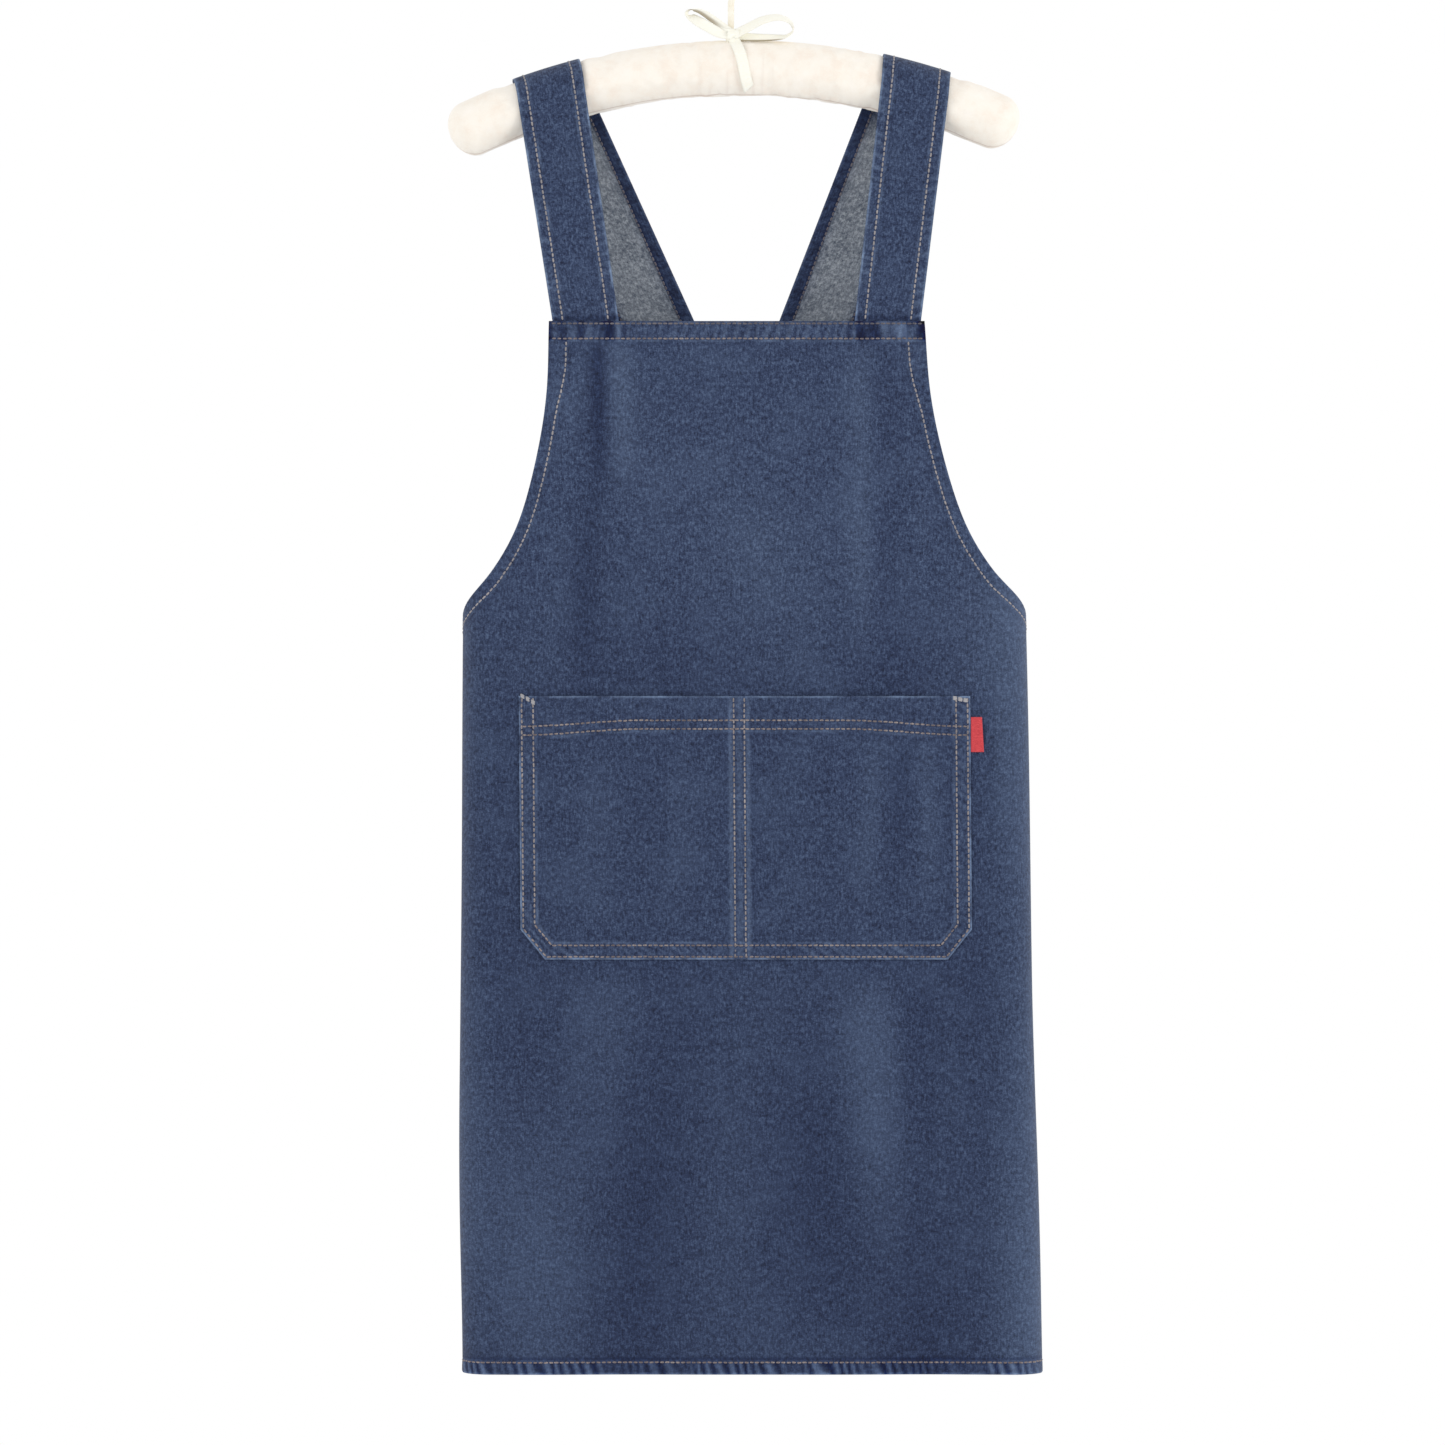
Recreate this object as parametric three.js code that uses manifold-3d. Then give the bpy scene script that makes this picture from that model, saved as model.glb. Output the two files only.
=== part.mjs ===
// A pull-over denim apron with crossed back straps, hanging on a padded hanger. Millimetres, +Z up.
// The origin is the seat inside the hook's crook, where the hanger rests on a rail. The apron's front
// faces -Y, and the rail runs along Y.
import * as THREE from "three";
import { mergeVertices } from "three/addons/utils/BufferGeometryUtils.js";
import Module from "manifold-3d";

const wasm = await Module();
wasm.setup();

// ---- driving dimensions ----
const GAP = 0.3; // between pieces that touch

// hook: a steel wire in a cloth sleeve, headed over a washer under the hanger's wooden core
const WIRE_R = 1.4;
const SLEEVE_INNER_R = 1.7;
const SLEEVE_OUTER_R = 2.3;
const CROOK_R = 19; // inside the crook, over the sleeve
const SEAT_DEPTH = 0.4; // how deep the rail has pressed the sleeve flat
const STEM_TOP_Z = -50; // where the straight stem ends
const CROOK_START_DEG = -40;
const CROOK_END_DEG = 198;
const SWEEP_REACH = 9; // how gently the stem sweeps into the crook
const HOOK_STEP = 4.5; // between rings along the hook
const SEAT_HALF_LENGTH = 8;
const SHAFT_CLEARANCE = 0.15; // round the wire, in the core and the washer
const HEAD_R = 3;
const HEAD_HEIGHT = 1.6;
const WASHER_R = 7;
const WASHER_THICKNESS = 1;

// hanger: a bent wooden core, wrapped in wadding, in a cloth cover
const HANGER_X = 2; // the hanger hangs a little off the hook's axis
const HANGER_Z = -97.4; // middle of the hanger's centre line
const HANGER_BEND_R = 455;
const HANGER_HALF_SPAN = 190; // along the centre line, up to where each end rounds off
const HANGER_END_LENGTH = 16;
const HANGER_HALF_HEIGHT = 19.3;
const HANGER_HALF_DEPTH = 17.4;
const COVER_THICKNESS = 0.9;
const CORE_HEIGHT = 22;
const CORE_DEPTH = 11;
const CORE_HALF_SPAN = 184;
const COVER_HOLE_R = 3.2;

// ribbon tied in a bow round the foot of the hook
const RIBBON_WIDTH = 8;
const RIBBON_THICKNESS = 0.6;
const BOW_Z = -74.5;
const BOW_X = 3; // the knot sits in front of the stem, a little to its right
const BOW_Y = -7.8;
const KNOT_WIDTH = 10;
const KNOT_BELOW = 3.2; // below the bow's middle, just clear of the hanger's cover
const KNOT_ABOVE = 4;
const KNOT_BACK_Y = -4;
const COLLAR_R = 5.2; // the ribbon wound round the stem
const LOOP_RIBBON_WIDTH = 9; // pressed a little wider than the tails
const TAIL_STANDOFF = [0.9, 1.6]; // along Y and Z, from the cover to the middle of a tail's thickness

// cloth of the apron
const DENIM = 1;
const FOLD_R = 20; // the soft fold at each side, to the middle of the cloth
const BIB_TOP_Z = -274;
const BIB_HALF = 131.5;
const SIDE_Z = -479; // where the armhole edge turns over the side fold
const HEM_Z = -1011.5;
const SKIRT_HALF_TOP = 196;
const SKIRT_HALF_HEM = 202;
const SEAM_GIRTH = 250; // girth from the centre front to the side seam, which lies just behind the fold
const BACK_EDGE_GIRTH = 402; // girth from the centre front to the free edge at the centre back
const BACK_TOP_Z = -508;
const SEAM_TOP_Z = -501;
const BACK_TOP_BEND = [12, 22, 34]; // places behind the side seam where the back's top edge bends
// The centre line of the hanging cloth drifts to +X on its way down: [z, x].
const HANG_LINE = [[-97, 1], [-274, 4], [-479, 9], [-749, 11], [HEM_Z, 14]];
// The armhole's edge on the flattened cloth: [girth from the centre front, z].
const ARMHOLE = [
  [BIB_HALF, BIB_TOP_Z], [134.5, -325], [143, -371], [156, -414], [173, -445],
  [192, -466], [222, -489], [SEAM_GIRTH, SEAM_TOP_Z],
];

// straps: one piece each, from inside the bib, over the hanger, across the back to the other side
const STRAP_FRONT_Y = -18.7; // middle of the strap's thickness
const STRAP_BACK_Y = 18.7;
const STRAP_TUCK = 14; // hidden behind the bib's hem
const STRAP_END_Z = -530;
const STRAP_BIB_INNER = 82.5;
const STRAP_BIB_OUTER = 129;
const STRAP_RIDGE_INNER = 105.5;
const STRAP_RIDGE_OUTER = 154;
const STRAP_RIDGE_Z = -95;
const STRAP_BACK_STEP = 2.5; // how far the strap shifts inwards as it crosses the hanger
const STRAP_BACK_SLOPE = 0.405; // sideways run for each unit of drop
const STRAP_BACK_WIDTH = 52.9; // measured level, across the slanted strap
const STRAP_OVER_HANGER = 1.1; // from the cover to the middle of the strap
const STRAP_CROSSING_LIFT = 2.2; // the right strap passes outside the left one
const STRAP_CROSSING_Z = [-340, -480]; // between these the lift is whole

// pocket: one patch, sewn down its middle into two compartments
const POCKET_TOP_Z = -536.5;
const POCKET_BOTTOM_Z = -721;
const POCKET_HALF = 158;
const POCKET_CHAMFER_X = 17;
const POCKET_CHAMFER_Z = 21;
const POCKET_DIVIDER_X = -4;
const POCKET_SEWN = 11; // width of the sewn-down strips
const POCKET_BULGE = 5.6;
const POCKET_CURVE = [0, 6, 11, 16, 22]; // places where the patch rises from a sewn strip

// label: a folded woven tab in the pocket's side seam
const LABEL_WIDTH = 9.4;
const LABEL_HEIGHT = 24.5;
const LABEL_THICKNESS = 0.8;
const LABEL_Z = -563.5;

// topstitching, one flat strip for each line of thread
const THREAD_WIDTH = 0.9;
const THREAD_THICKNESS = 0.5;
const HEM_WIDTH = 8.5;
const BAND_STITCH_Z = [-275.8, -286.3];
const EDGE_STITCH = 2; // a topstitch's distance from the edge it holds down
const STRAP_STITCH = 7.5;
const SEAM_STITCH = 4; // behind the side seam
const POCKET_ROUND_STITCHES = [2, 10]; // distances inside the patch's edge
const POCKET_MOUTH_STITCHES = [17, 23]; // below the mouth
const DIVIDER_STITCH = 3.7; // to each side of the divider's middle

// ---- small helpers ----
const lerp = THREE.MathUtils.lerp;
const smooth = (x, low, high) => THREE.MathUtils.smoothstep(x, low, high);
const range = (n) => Array.from({ length: n }, (_, i) => i);
const steps = (from, to, n) => range(n + 1).map((i) => lerp(from, to, i / n));
const vec = (x, y, z) => new THREE.Vector3(x, y, z);

// Straight lines between points [key, value], for keys that fall.
function alongLine(points, key) {
  const last = points.length - 2;
  const found = points.findIndex((p, i) => i < last && key >= points[i + 1][0]);
  const i = found < 0 ? last : found;
  const [[k0, v0], [k1, v1]] = [points[i], points[i + 1]];
  return lerp(v0, v1, (key - k0) / (k1 - k0));
}

// ---- solids ----
// A closed triangle mesh from points and faces, with its faces pointing out.
function solidGeometry(points, faces) {
  let volume = 0;
  for (const [a, b, c] of faces)
    volume += points[a].dot(vec(0, 0, 0).crossVectors(points[b], points[c]));
  const index = faces.flatMap(([a, b, c]) => (volume < 0 ? [a, c, b] : [a, b, c]));
  const geometry = new THREE.BufferGeometry().setFromPoints(points);
  return geometry.setIndex(index);
}

// A body through a row of closed rings, each with the same number of points, with flat ends.
function loft(rings) {
  const sides = rings[0].length;
  const faces = [];
  for (const r of range(rings.length - 1))
    for (const i of range(sides)) {
      const [a, b] = [r * sides + i, r * sides + ((i + 1) % sides)];
      faces.push([a, b, b + sides], [a, b + sides, a + sides]);
    }
  const end = (rings.length - 1) * sides;
  for (const i of range(sides - 2)) {
    faces.push([0, i + 2, i + 1]);
    faces.push([end, end + i + 1, end + i + 2]);
  }
  return solidGeometry(rings.flat(), faces);
}

// A sheet of even thickness about a grid of { point, normal }.
function sheetSolid(grid, thickness) {
  const [rows, cols] = [grid.length, grid[0].length];
  const points = [0.5, -0.5].flatMap((side) =>
    grid.flatMap((row) => row.map((g) => g.point.clone().addScaledVector(g.normal, side * thickness))),
  );
  const at = (side, r, c) => (side * rows + r) * cols + c;
  const faces = [];
  const quad = (a, b, c, d) => faces.push([a, b, c], [a, c, d]);
  for (const r of range(rows - 1))
    for (const c of range(cols - 1)) {
      quad(at(0, r, c), at(0, r, c + 1), at(0, r + 1, c + 1), at(0, r + 1, c));
      quad(at(1, r, c), at(1, r + 1, c), at(1, r + 1, c + 1), at(1, r, c + 1));
    }
  for (const r of range(rows - 1)) {
    quad(at(0, r, 0), at(0, r + 1, 0), at(1, r + 1, 0), at(1, r, 0));
    quad(at(0, r + 1, cols - 1), at(0, r, cols - 1), at(1, r, cols - 1), at(1, r + 1, cols - 1));
  }
  for (const c of range(cols - 1)) {
    quad(at(0, 0, c + 1), at(0, 0, c), at(1, 0, c), at(1, 0, c + 1));
    quad(at(0, rows - 1, c), at(0, rows - 1, c + 1), at(1, rows - 1, c + 1), at(1, rows - 1, c));
  }
  return solidGeometry(points, faces);
}

function toManifold(geometry) {
  const bare = new THREE.BufferGeometry().setAttribute("position", geometry.getAttribute("position"));
  if (geometry.index) bare.setIndex(geometry.index);
  const merged = mergeVertices(bare, 1e-4);
  return new wasm.Manifold(
    new wasm.Mesh({
      numProp: 3,
      vertProperties: new Float32Array(merged.attributes.position.array),
      triVerts: new Uint32Array(merged.index.array),
    }),
  );
}

function fromManifold(solid) {
  const mesh = solid.getMesh();
  return new THREE.BufferGeometry()
    .setAttribute("position", new THREE.BufferAttribute(mesh.vertProperties, 3))
    .setIndex(new THREE.BufferAttribute(mesh.triVerts, 1));
}

const joined = (...geometries) =>
  fromManifold(geometries.map(toManifold).reduce((whole, piece) => whole.add(piece)));
const cut = (geometry, ...tools) =>
  fromManifold(tools.map(toManifold).reduce((whole, tool) => whole.subtract(tool), toManifold(geometry)));

function upright(radius, z0, z1, sides = 16) {
  return new THREE.CylinderGeometry(radius, radius, z1 - z0, sides)
    .rotateX(Math.PI / 2)
    .translate(0, 0, (z0 + z1) / 2);
}

function block([x0, x1], [y0, y1], [z0, z1]) {
  return new THREE.BoxGeometry(x1 - x0, y1 - y0, z1 - z0).translate(
    (x0 + x1) / 2, (y0 + y1) / 2, (z0 + z1) / 2,
  );
}

// ---- materials ----
const cloth = (color) => new THREE.MeshStandardMaterial({ color, roughness: 0.9, metalness: 0 });
const denim = cloth(0x3f4c66);
const ivory = cloth(0xfdf6eb);
const ribbon = cloth(0xfefbeb);
const wadding = cloth(0xf4f2ee);
const thread = cloth(0xa08270);
const labelRed = cloth(0xc94a4f);
const wood = new THREE.MeshStandardMaterial({ color: 0xc9a87a, roughness: 0.7, metalness: 0 });
const steel = new THREE.MeshStandardMaterial({ color: 0xb8b8bb, roughness: 0.35, metalness: 1 });

const part = new THREE.Group();
const groups = {};
for (const name of ["hook", "hanger", "apron", "label"]) {
  groups[name] = new THREE.Group();
  part.add(groups[name]);
}

function add(group, name, geometry, material) {
  const mesh = new THREE.Mesh(geometry, material);
  mesh.name = name;
  groups[group].add(mesh);
}

// ---- hanger ----
// Height of the hanger's centre line, and its slope, at x.
const hangerDrop = (x) => HANGER_BEND_R - Math.sqrt(HANGER_BEND_R ** 2 - (x - HANGER_X) ** 2);
const hangerZ = (x) => HANGER_Z - hangerDrop(x);
const hangerCos = (x) => Math.sqrt(1 - ((x - HANGER_X) / HANGER_BEND_R) ** 2);

// A point beside the centre line: length along it, distance above it square to it, and y.
function byHanger(length, above, y) {
  const angle = length / HANGER_BEND_R;
  const r = HANGER_BEND_R + above;
  return vec(HANGER_X + r * Math.sin(angle), y, HANGER_Z - HANGER_BEND_R + r * Math.cos(angle));
}

// The hanger's rounded body, shrunk all over by inset.
function hangerBody(inset, sides = 16) {
  const endAngles = [80, 60, 35, 15].map(THREE.MathUtils.degToRad);
  const stations = [
    ...endAngles.map((a) => [-1, a]),
    ...steps(-1, 1, 10).map((t) => [t, 0]),
    ...endAngles.toReversed().map((a) => [1, a]),
  ];
  return loft(
    stations.map(([t, a]) => {
      const length = t * HANGER_HALF_SPAN + t * (HANGER_END_LENGTH - inset) * Math.sin(a);
      return range(sides).map((i) => {
        const turn = (i / sides) * 2 * Math.PI;
        const above = (HANGER_HALF_HEIGHT - inset) * Math.cos(a) * Math.sin(turn);
        return byHanger(length, above, (HANGER_HALF_DEPTH - inset) * Math.cos(a) * Math.cos(turn));
      });
    }),
  );
}

// The wooden core, grown all over by grow.
function coreBody(grow) {
  const [h, d] = [CORE_HEIGHT / 2 + grow, CORE_DEPTH / 2 + grow];
  const corner = 3;
  const outline = [
    [h - corner, d], [h, d - corner], [h, corner - d], [h - corner, -d],
    [corner - h, -d], [-h, corner - d], [-h, d - corner], [corner - h, d],
  ];
  const span = CORE_HALF_SPAN + grow;
  return loft(steps(-span, span, 12).map((length) => outline.map(([up, y]) => byHanger(length, up, y))));
}

const coreBottomZ = HANGER_Z - CORE_HEIGHT / 2;
const washerTopZ = coreBottomZ - GAP;
const headTopZ = washerTopZ - WASHER_THICKNESS - GAP;
const shaftTopZ = HANGER_Z + HANGER_HALF_HEIGHT + 5;
const fastenerSpace = upright(WASHER_R + 1, headTopZ - HEAD_HEIGHT - 1, coreBottomZ + 1);

function addHanger() {
  const holeThrough = upright(WIRE_R + SHAFT_CLEARANCE, headTopZ - HEAD_HEIGHT, shaftTopZ);
  add("hanger", "hanger_core", cut(coreBody(0), holeThrough), wood);
  const paddingHole = upright(COVER_HOLE_R, HANGER_Z, shaftTopZ);
  add(
    "hanger", "hanger_padding",
    cut(hangerBody(COVER_THICKNESS + GAP), coreBody(GAP), fastenerSpace, paddingHole), wadding,
  );
  add("hanger", "hanger_cover", cut(hangerBody(0), hangerBody(COVER_THICKNESS), paddingHole), ivory);
  const washer = upright(WASHER_R, washerTopZ - WASHER_THICKNESS, washerTopZ, 20);
  const washerHole = upright(WIRE_R + SHAFT_CLEARANCE, headTopZ, coreBottomZ);
  add("hanger", "hook_washer", cut(washer, washerHole), steel);
}

// ---- hook ----
// The wire's centre line, from startZ up the stem and round the crook.
function hookPath(startZ) {
  const r = CROOK_R + SLEEVE_OUTER_R - SEAT_DEPTH;
  const centreZ = -CROOK_R;
  const onCrook = (deg) => {
    const a = THREE.MathUtils.degToRad(deg);
    return vec(r * Math.cos(a), 0, centreZ + r * Math.sin(a));
  };
  const joinAngle = THREE.MathUtils.degToRad(CROOK_START_DEG);
  const joinPoint = onCrook(CROOK_START_DEG);
  const joinTangent = vec(-Math.sin(joinAngle), 0, Math.cos(joinAngle));
  const sweepUp = new THREE.CubicBezierCurve3(
    vec(0, 0, STEM_TOP_Z), vec(0, 0, STEM_TOP_Z + SWEEP_REACH),
    joinPoint.clone().addScaledVector(joinTangent, -SWEEP_REACH), joinPoint,
  );
  const path = new THREE.CurvePath();
  path.add(new THREE.LineCurve3(vec(0, 0, startZ), vec(0, 0, STEM_TOP_Z)));
  path.add(sweepUp);
  const degrees = steps(CROOK_START_DEG, CROOK_END_DEG, 24);
  path.add(new THREE.CatmullRomCurve3(degrees.map(onCrook)));
  return path;
}

const HOOK_SIDES = 10;
const ring = (radius) =>
  range(HOOK_SIDES).map((i) => {
    const a = ((i + 0.5) / HOOK_SIDES) * 2 * Math.PI;
    return new THREE.Vector2(radius * Math.cos(a), radius * Math.sin(a));
  });

function alongHook(shape, startZ) {
  const path = hookPath(startZ);
  const count = Math.round(path.getLength() / HOOK_STEP);
  return new THREE.ExtrudeGeometry(shape, { steps: count, bevelEnabled: false, extrudePath: path });
}

function addHook() {
  const wire = alongHook(new THREE.Shape(ring(WIRE_R)), headTopZ);
  const head = upright(HEAD_R, headTopZ - HEAD_HEIGHT, headTopZ, HOOK_SIDES);
  add("hook", "hook_wire", joined(wire, head), steel);
  const sleeveShape = new THREE.Shape(ring(SLEEVE_OUTER_R));
  sleeveShape.holes.push(new THREE.Path(ring(SLEEVE_INNER_R)));
  const sleeveStartZ = HANGER_Z + HANGER_HALF_HEIGHT - 1;
  const rail = block([-SEAT_HALF_LENGTH, SEAT_HALF_LENGTH], [-5, 5], [-4, 0]);
  add("hook", "hook_sleeve", cut(alongHook(sleeveShape, sleeveStartZ), rail), ivory);
}

// ---- bow ----
// A ribbon loop: a band that leaves the knot, turns over at its far end and comes back below itself.
function bowLoop(side, reach, tilt, fat) {
  const [root, rootGap] = [1, 1.4];
  const outline = new THREE.CurvePath();
  outline.add(new THREE.CubicBezierCurve(
    new THREE.Vector2(root, rootGap), new THREE.Vector2(reach * 0.4, fat),
    new THREE.Vector2(reach, fat * 1.1), new THREE.Vector2(reach, 0),
  ));
  outline.add(new THREE.CubicBezierCurve(
    new THREE.Vector2(reach, 0), new THREE.Vector2(reach, -fat * 0.8),
    new THREE.Vector2(reach * 0.4, -fat * 0.7), new THREE.Vector2(root, -rootGap),
  ));
  const last = 18;
  const points = outline.getSpacedPoints(last);
  const rows = points.map((p, i) => {
    const along = points[Math.min(i + 1, last)].clone().sub(points[Math.max(i - 1, 0)]).normalize();
    const normal = vec(side * -along.y, 0, along.x);
    return [-0.5, 0.5].map((s) => ({ point: vec(side * p.x, s * LOOP_RIBBON_WIDTH, p.y), normal }));
  });
  return sheetSolid(rows, RIBBON_THICKNESS).rotateY(-side * tilt).translate(BOW_X, BOW_Y, BOW_Z);
}

// A ribbon tail lying on the hanger, from the knot down to its slanted end.
function bowTail(face, x0, x1, endZ) {
  const startDepth = 5;
  const [outY, outZ] = TAIL_STANDOFF;
  const rows = steps(0, 1, 8).map((t) => {
    const z = lerp(BOW_Z - 2, endZ, t);
    const x = lerp(x0, x1, t);
    const rise = (z - hangerZ(x)) / (HANGER_HALF_HEIGHT + outZ);
    const level = Math.sqrt(Math.max(0, 1 - rise * rise));
    const depth = Math.max(startDepth, (HANGER_HALF_DEPTH + outY) * level);
    return { x, z, depth, normal: vec(0, face * (level + 0.3), rise).normalize() };
  });
  return sheetSolid(
    rows.map(({ x, z, depth, normal }) =>
      [-1, 1].map((s) => ({
        point: vec(x + (s * RIBBON_WIDTH) / 2, face * depth, z),
        normal,
      })),
    ),
    RIBBON_THICKNESS,
  );
}

function addBow() {
  const knotX = [BOW_X - KNOT_WIDTH / 2, BOW_X + KNOT_WIDTH / 2];
  const knotZ = [BOW_Z - KNOT_BELOW, BOW_Z + KNOT_ABOVE];
  const stemSpace = upright(SLEEVE_OUTER_R + GAP + 0.1, knotZ[0] - 1, knotZ[1] + 1);
  const collar = cut(upright(COLLAR_R, ...knotZ), stemSpace);
  const knot = block(knotX, [BOW_Y - 1.2, KNOT_BACK_Y], knotZ);
  const left = bowLoop(-1, 34, 0.38, 7);
  const right = bowLoop(1, 42, 0.12, 8);
  const frontTail = bowTail(-1, 4, 13, -111);
  const backTail = bowTail(1, 0, -2, -88); // short, so that the straps clear it as the apron lifts
  add("hanger", "ribbon_bow", joined(collar, knot, left, right, frontTail, backTail), ribbon);
}

// ---- apron body ----
const hang = (z) => alongLine(HANG_LINE, z);
const skirtHalf = (z) =>
  lerp(SKIRT_HALF_TOP, SKIRT_HALF_HEM, THREE.MathUtils.clamp((SIDE_Z - z) / (SIDE_Z - HEM_Z), 0, 1));

// The hanging cloth at a girth from the centre front, raised off its middle surface by out.
function onBody(girth, z, out = 0) {
  const side = girth < 0 ? -1 : 1;
  const flat = skirtHalf(z) - FOLD_R;
  const turn = THREE.MathUtils.clamp((Math.abs(girth) - flat) / FOLD_R, 0, Math.PI);
  const run = Math.abs(girth) - turn * FOLD_R;
  const x = flat - Math.abs(flat - run) + FOLD_R * Math.sin(turn);
  const normal = vec(side * Math.sin(turn), -Math.cos(turn), 0);
  const point = vec(hang(z) + side * x, -FOLD_R * Math.cos(turn), z);
  return { point: point.addScaledVector(normal, out), normal };
}

const armhole = new THREE.SplineCurve(ARMHOLE.map(([s, z]) => new THREE.Vector2(s, z)));
const SKIRT_ROWS = [-620, -749, -880, HEM_Z];

function frontPanel() {
  const flat = SKIRT_HALF_TOP - FOLD_R;
  const fold = steps(flat, flat + Math.PI * FOLD_R, 8);
  const half = [0, 60, 120, ...fold, SEAM_GIRTH].map((s) => s / SEAM_GIRTH);
  const across = [...half.toReversed().map((s) => -s), ...half.slice(1)];
  const rows = [
    ...armhole.getSpacedPoints(14).map((p) => [p.x, p.y]),
    ...SKIRT_ROWS.map((z) => [SEAM_GIRTH, z]),
  ];
  return sheetSolid(rows.map(([reach, z]) => across.map((t) => onBody(t * reach, z))), DENIM);
}

// The top edge of the back, from the side seam to the centre back.
const backTop = (girth) =>
  lerp(SEAM_TOP_Z, BACK_TOP_Z, smooth(girth, SEAM_GIRTH - BACK_TOP_BEND[0], SEAM_GIRTH + BACK_TOP_BEND[2]));
const backBend = BACK_TOP_BEND.map((d) => SEAM_GIRTH + d);
const backMiddle = (SEAM_GIRTH + BACK_EDGE_GIRTH) / 2;

function backPanel(side) {
  const columns = [SEAM_GIRTH + GAP, ...backBend, backMiddle, BACK_EDGE_GIRTH];
  const rows = [
    columns.map((s) => onBody(side * s, backTop(s))),
    ...SKIRT_ROWS.map((z) => columns.map((s) => onBody(side * s, z))),
  ];
  return sheetSolid(rows, DENIM);
}

// ---- straps ----
// Each edge's distance from the centre line, on the front and on the back.
function strapEdge(z, across, phase) {
  const onFront = (bib, ridge) => lerp(bib, ridge, (z - BIB_TOP_Z) / (STRAP_RIDGE_Z - BIB_TOP_Z));
  const front = lerp(
    onFront(STRAP_BIB_INNER, STRAP_RIDGE_INNER), onFront(STRAP_BIB_OUTER, STRAP_RIDGE_OUTER), across,
  );
  const inner = STRAP_RIDGE_INNER - STRAP_BACK_STEP - STRAP_BACK_SLOPE * (STRAP_RIDGE_Z - z);
  return lerp(front, inner + STRAP_BACK_WIDTH * across, phase);
}

// A row across the strap, at a place along it, raised off its middle surface by out.
function strapRow(side, station, acrosses, out = 0) {
  const { z: level, arc, crossing } = station;
  return acrosses.map((across) => {
    const phase = arc === undefined ? (station.back ? 1 : 0) : arc / Math.PI;
    if (arc === undefined) {
      const face = station.back ? 1 : -1;
      const y = (station.back ? STRAP_BACK_Y : STRAP_FRONT_Y) + (side > 0 ? crossing || 0 : 0);
      const x = hang(level) + side * strapEdge(level, across, phase);
      return { point: vec(x, y + face * out, level), normal: vec(0, face, 0) };
    }
    let x = hang(STRAP_RIDGE_Z) + side * lerp(STRAP_RIDGE_INNER, STRAP_RIDGE_OUTER, across);
    let z = STRAP_RIDGE_Z;
    for (let settle = 0; settle < 4; settle++) {
      const rise = (HANGER_HALF_HEIGHT + STRAP_OVER_HANGER) / hangerCos(x);
      z = hangerZ(x) + (rise + out) * Math.sin(arc);
      x = hang(z) + side * strapEdge(z, across, phase);
    }
    const y = (STRAP_FRONT_Y - out) * Math.cos(arc);
    return { point: vec(x, y, z), normal: vec(0, -Math.cos(arc), Math.sin(arc)) };
  });
}

function strapStations(startZ = BIB_TOP_Z - STRAP_TUCK, endZ = STRAP_END_Z) {
  const [whole, falling] = STRAP_CROSSING_Z;
  const tucked = -503; // inside the back's top edge
  const rise = (z) => smooth(-z, -BIB_TOP_Z, -whole) * (1 - smooth(-z, -falling, -tucked));
  const crossing = [BIB_TOP_Z, -300, -320, whole, -411, falling, -491, tucked];
  const backRows = [-170, -220, ...crossing, endZ];
  return [
    { z: startZ },
    { z: -200 },
    ...steps(0, Math.PI, 12).map((arc) => ({ arc })),
    ...backRows.map((z) => ({ z, back: true, crossing: STRAP_CROSSING_LIFT * rise(z) })),
  ];
}

function strap(side) {
  return sheetSolid(strapStations().map((s) => strapRow(side, s, [0, 0.5, 1])), DENIM);
}

// ---- pocket ----
const pocketFaceOut = DENIM / 2 + GAP + DENIM / 2;

// Half width of the patch at z, with its lower corners cut off.
function pocketHalf(z) {
  const cutOff = (POCKET_BOTTOM_Z + POCKET_CHAMFER_Z - z) / POCKET_CHAMFER_Z;
  return POCKET_HALF - POCKET_CHAMFER_X * THREE.MathUtils.clamp(cutOff, 0, 1);
}

// How far the patch stands off the apron, at x from the centre line.
function pocketBulge(x, z) {
  const sewnEdge = POCKET_HALF - POCKET_SEWN;
  const fromSides = Math.min(sewnEdge - x, x + sewnEdge, Math.abs(x - POCKET_DIVIDER_X) - POCKET_SEWN / 2);
  const fromBottom = z - (POCKET_BOTTOM_Z + POCKET_SEWN);
  return POCKET_BULGE * smooth(fromSides, 0, 22) * smooth(fromBottom, 0, 44);
}

function onPocket(x, z, out = 0) {
  return {
    point: vec(hang(z) + x, -FOLD_R - pocketFaceOut - pocketBulge(x, z) - out, z),
    normal: vec(0, -1, 0),
  };
}

// The patch's upright lines: its edges, the sewn strips and the curves on each side of the divider.
function pocketColumns() {
  const sewnEdge = POCKET_HALF - POCKET_SEWN;
  const divider = [-POCKET_SEWN / 2, POCKET_SEWN / 2].map((d) => POCKET_DIVIDER_X + d);
  const compartment = (from, to) => [
    ...POCKET_CURVE.map((d) => from + d), (from + to) / 2, ...POCKET_CURVE.toReversed().map((d) => to - d),
  ];
  return [...compartment(-sewnEdge, divider[0]), ...compartment(divider[1], sewnEdge)];
}

function pocketPanel() {
  const across = [-POCKET_HALF, ...pocketColumns(), POCKET_HALF];
  const sewnZ = POCKET_BOTTOM_Z + POCKET_SEWN;
  const rows = [POCKET_TOP_Z, -600, ...POCKET_CURVE.toReversed().map((d) => sewnZ + 2 * d), POCKET_BOTTOM_Z];
  const inside = (x, z) => THREE.MathUtils.clamp(x, -pocketHalf(z), pocketHalf(z));
  return sheetSolid(rows.map((z) => across.map((x) => onPocket(inside(x, z), z))), DENIM);
}

// ---- topstitching ----
const THREAD_OUT = DENIM / 2 + GAP + THREAD_THICKNESS / 2;

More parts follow.
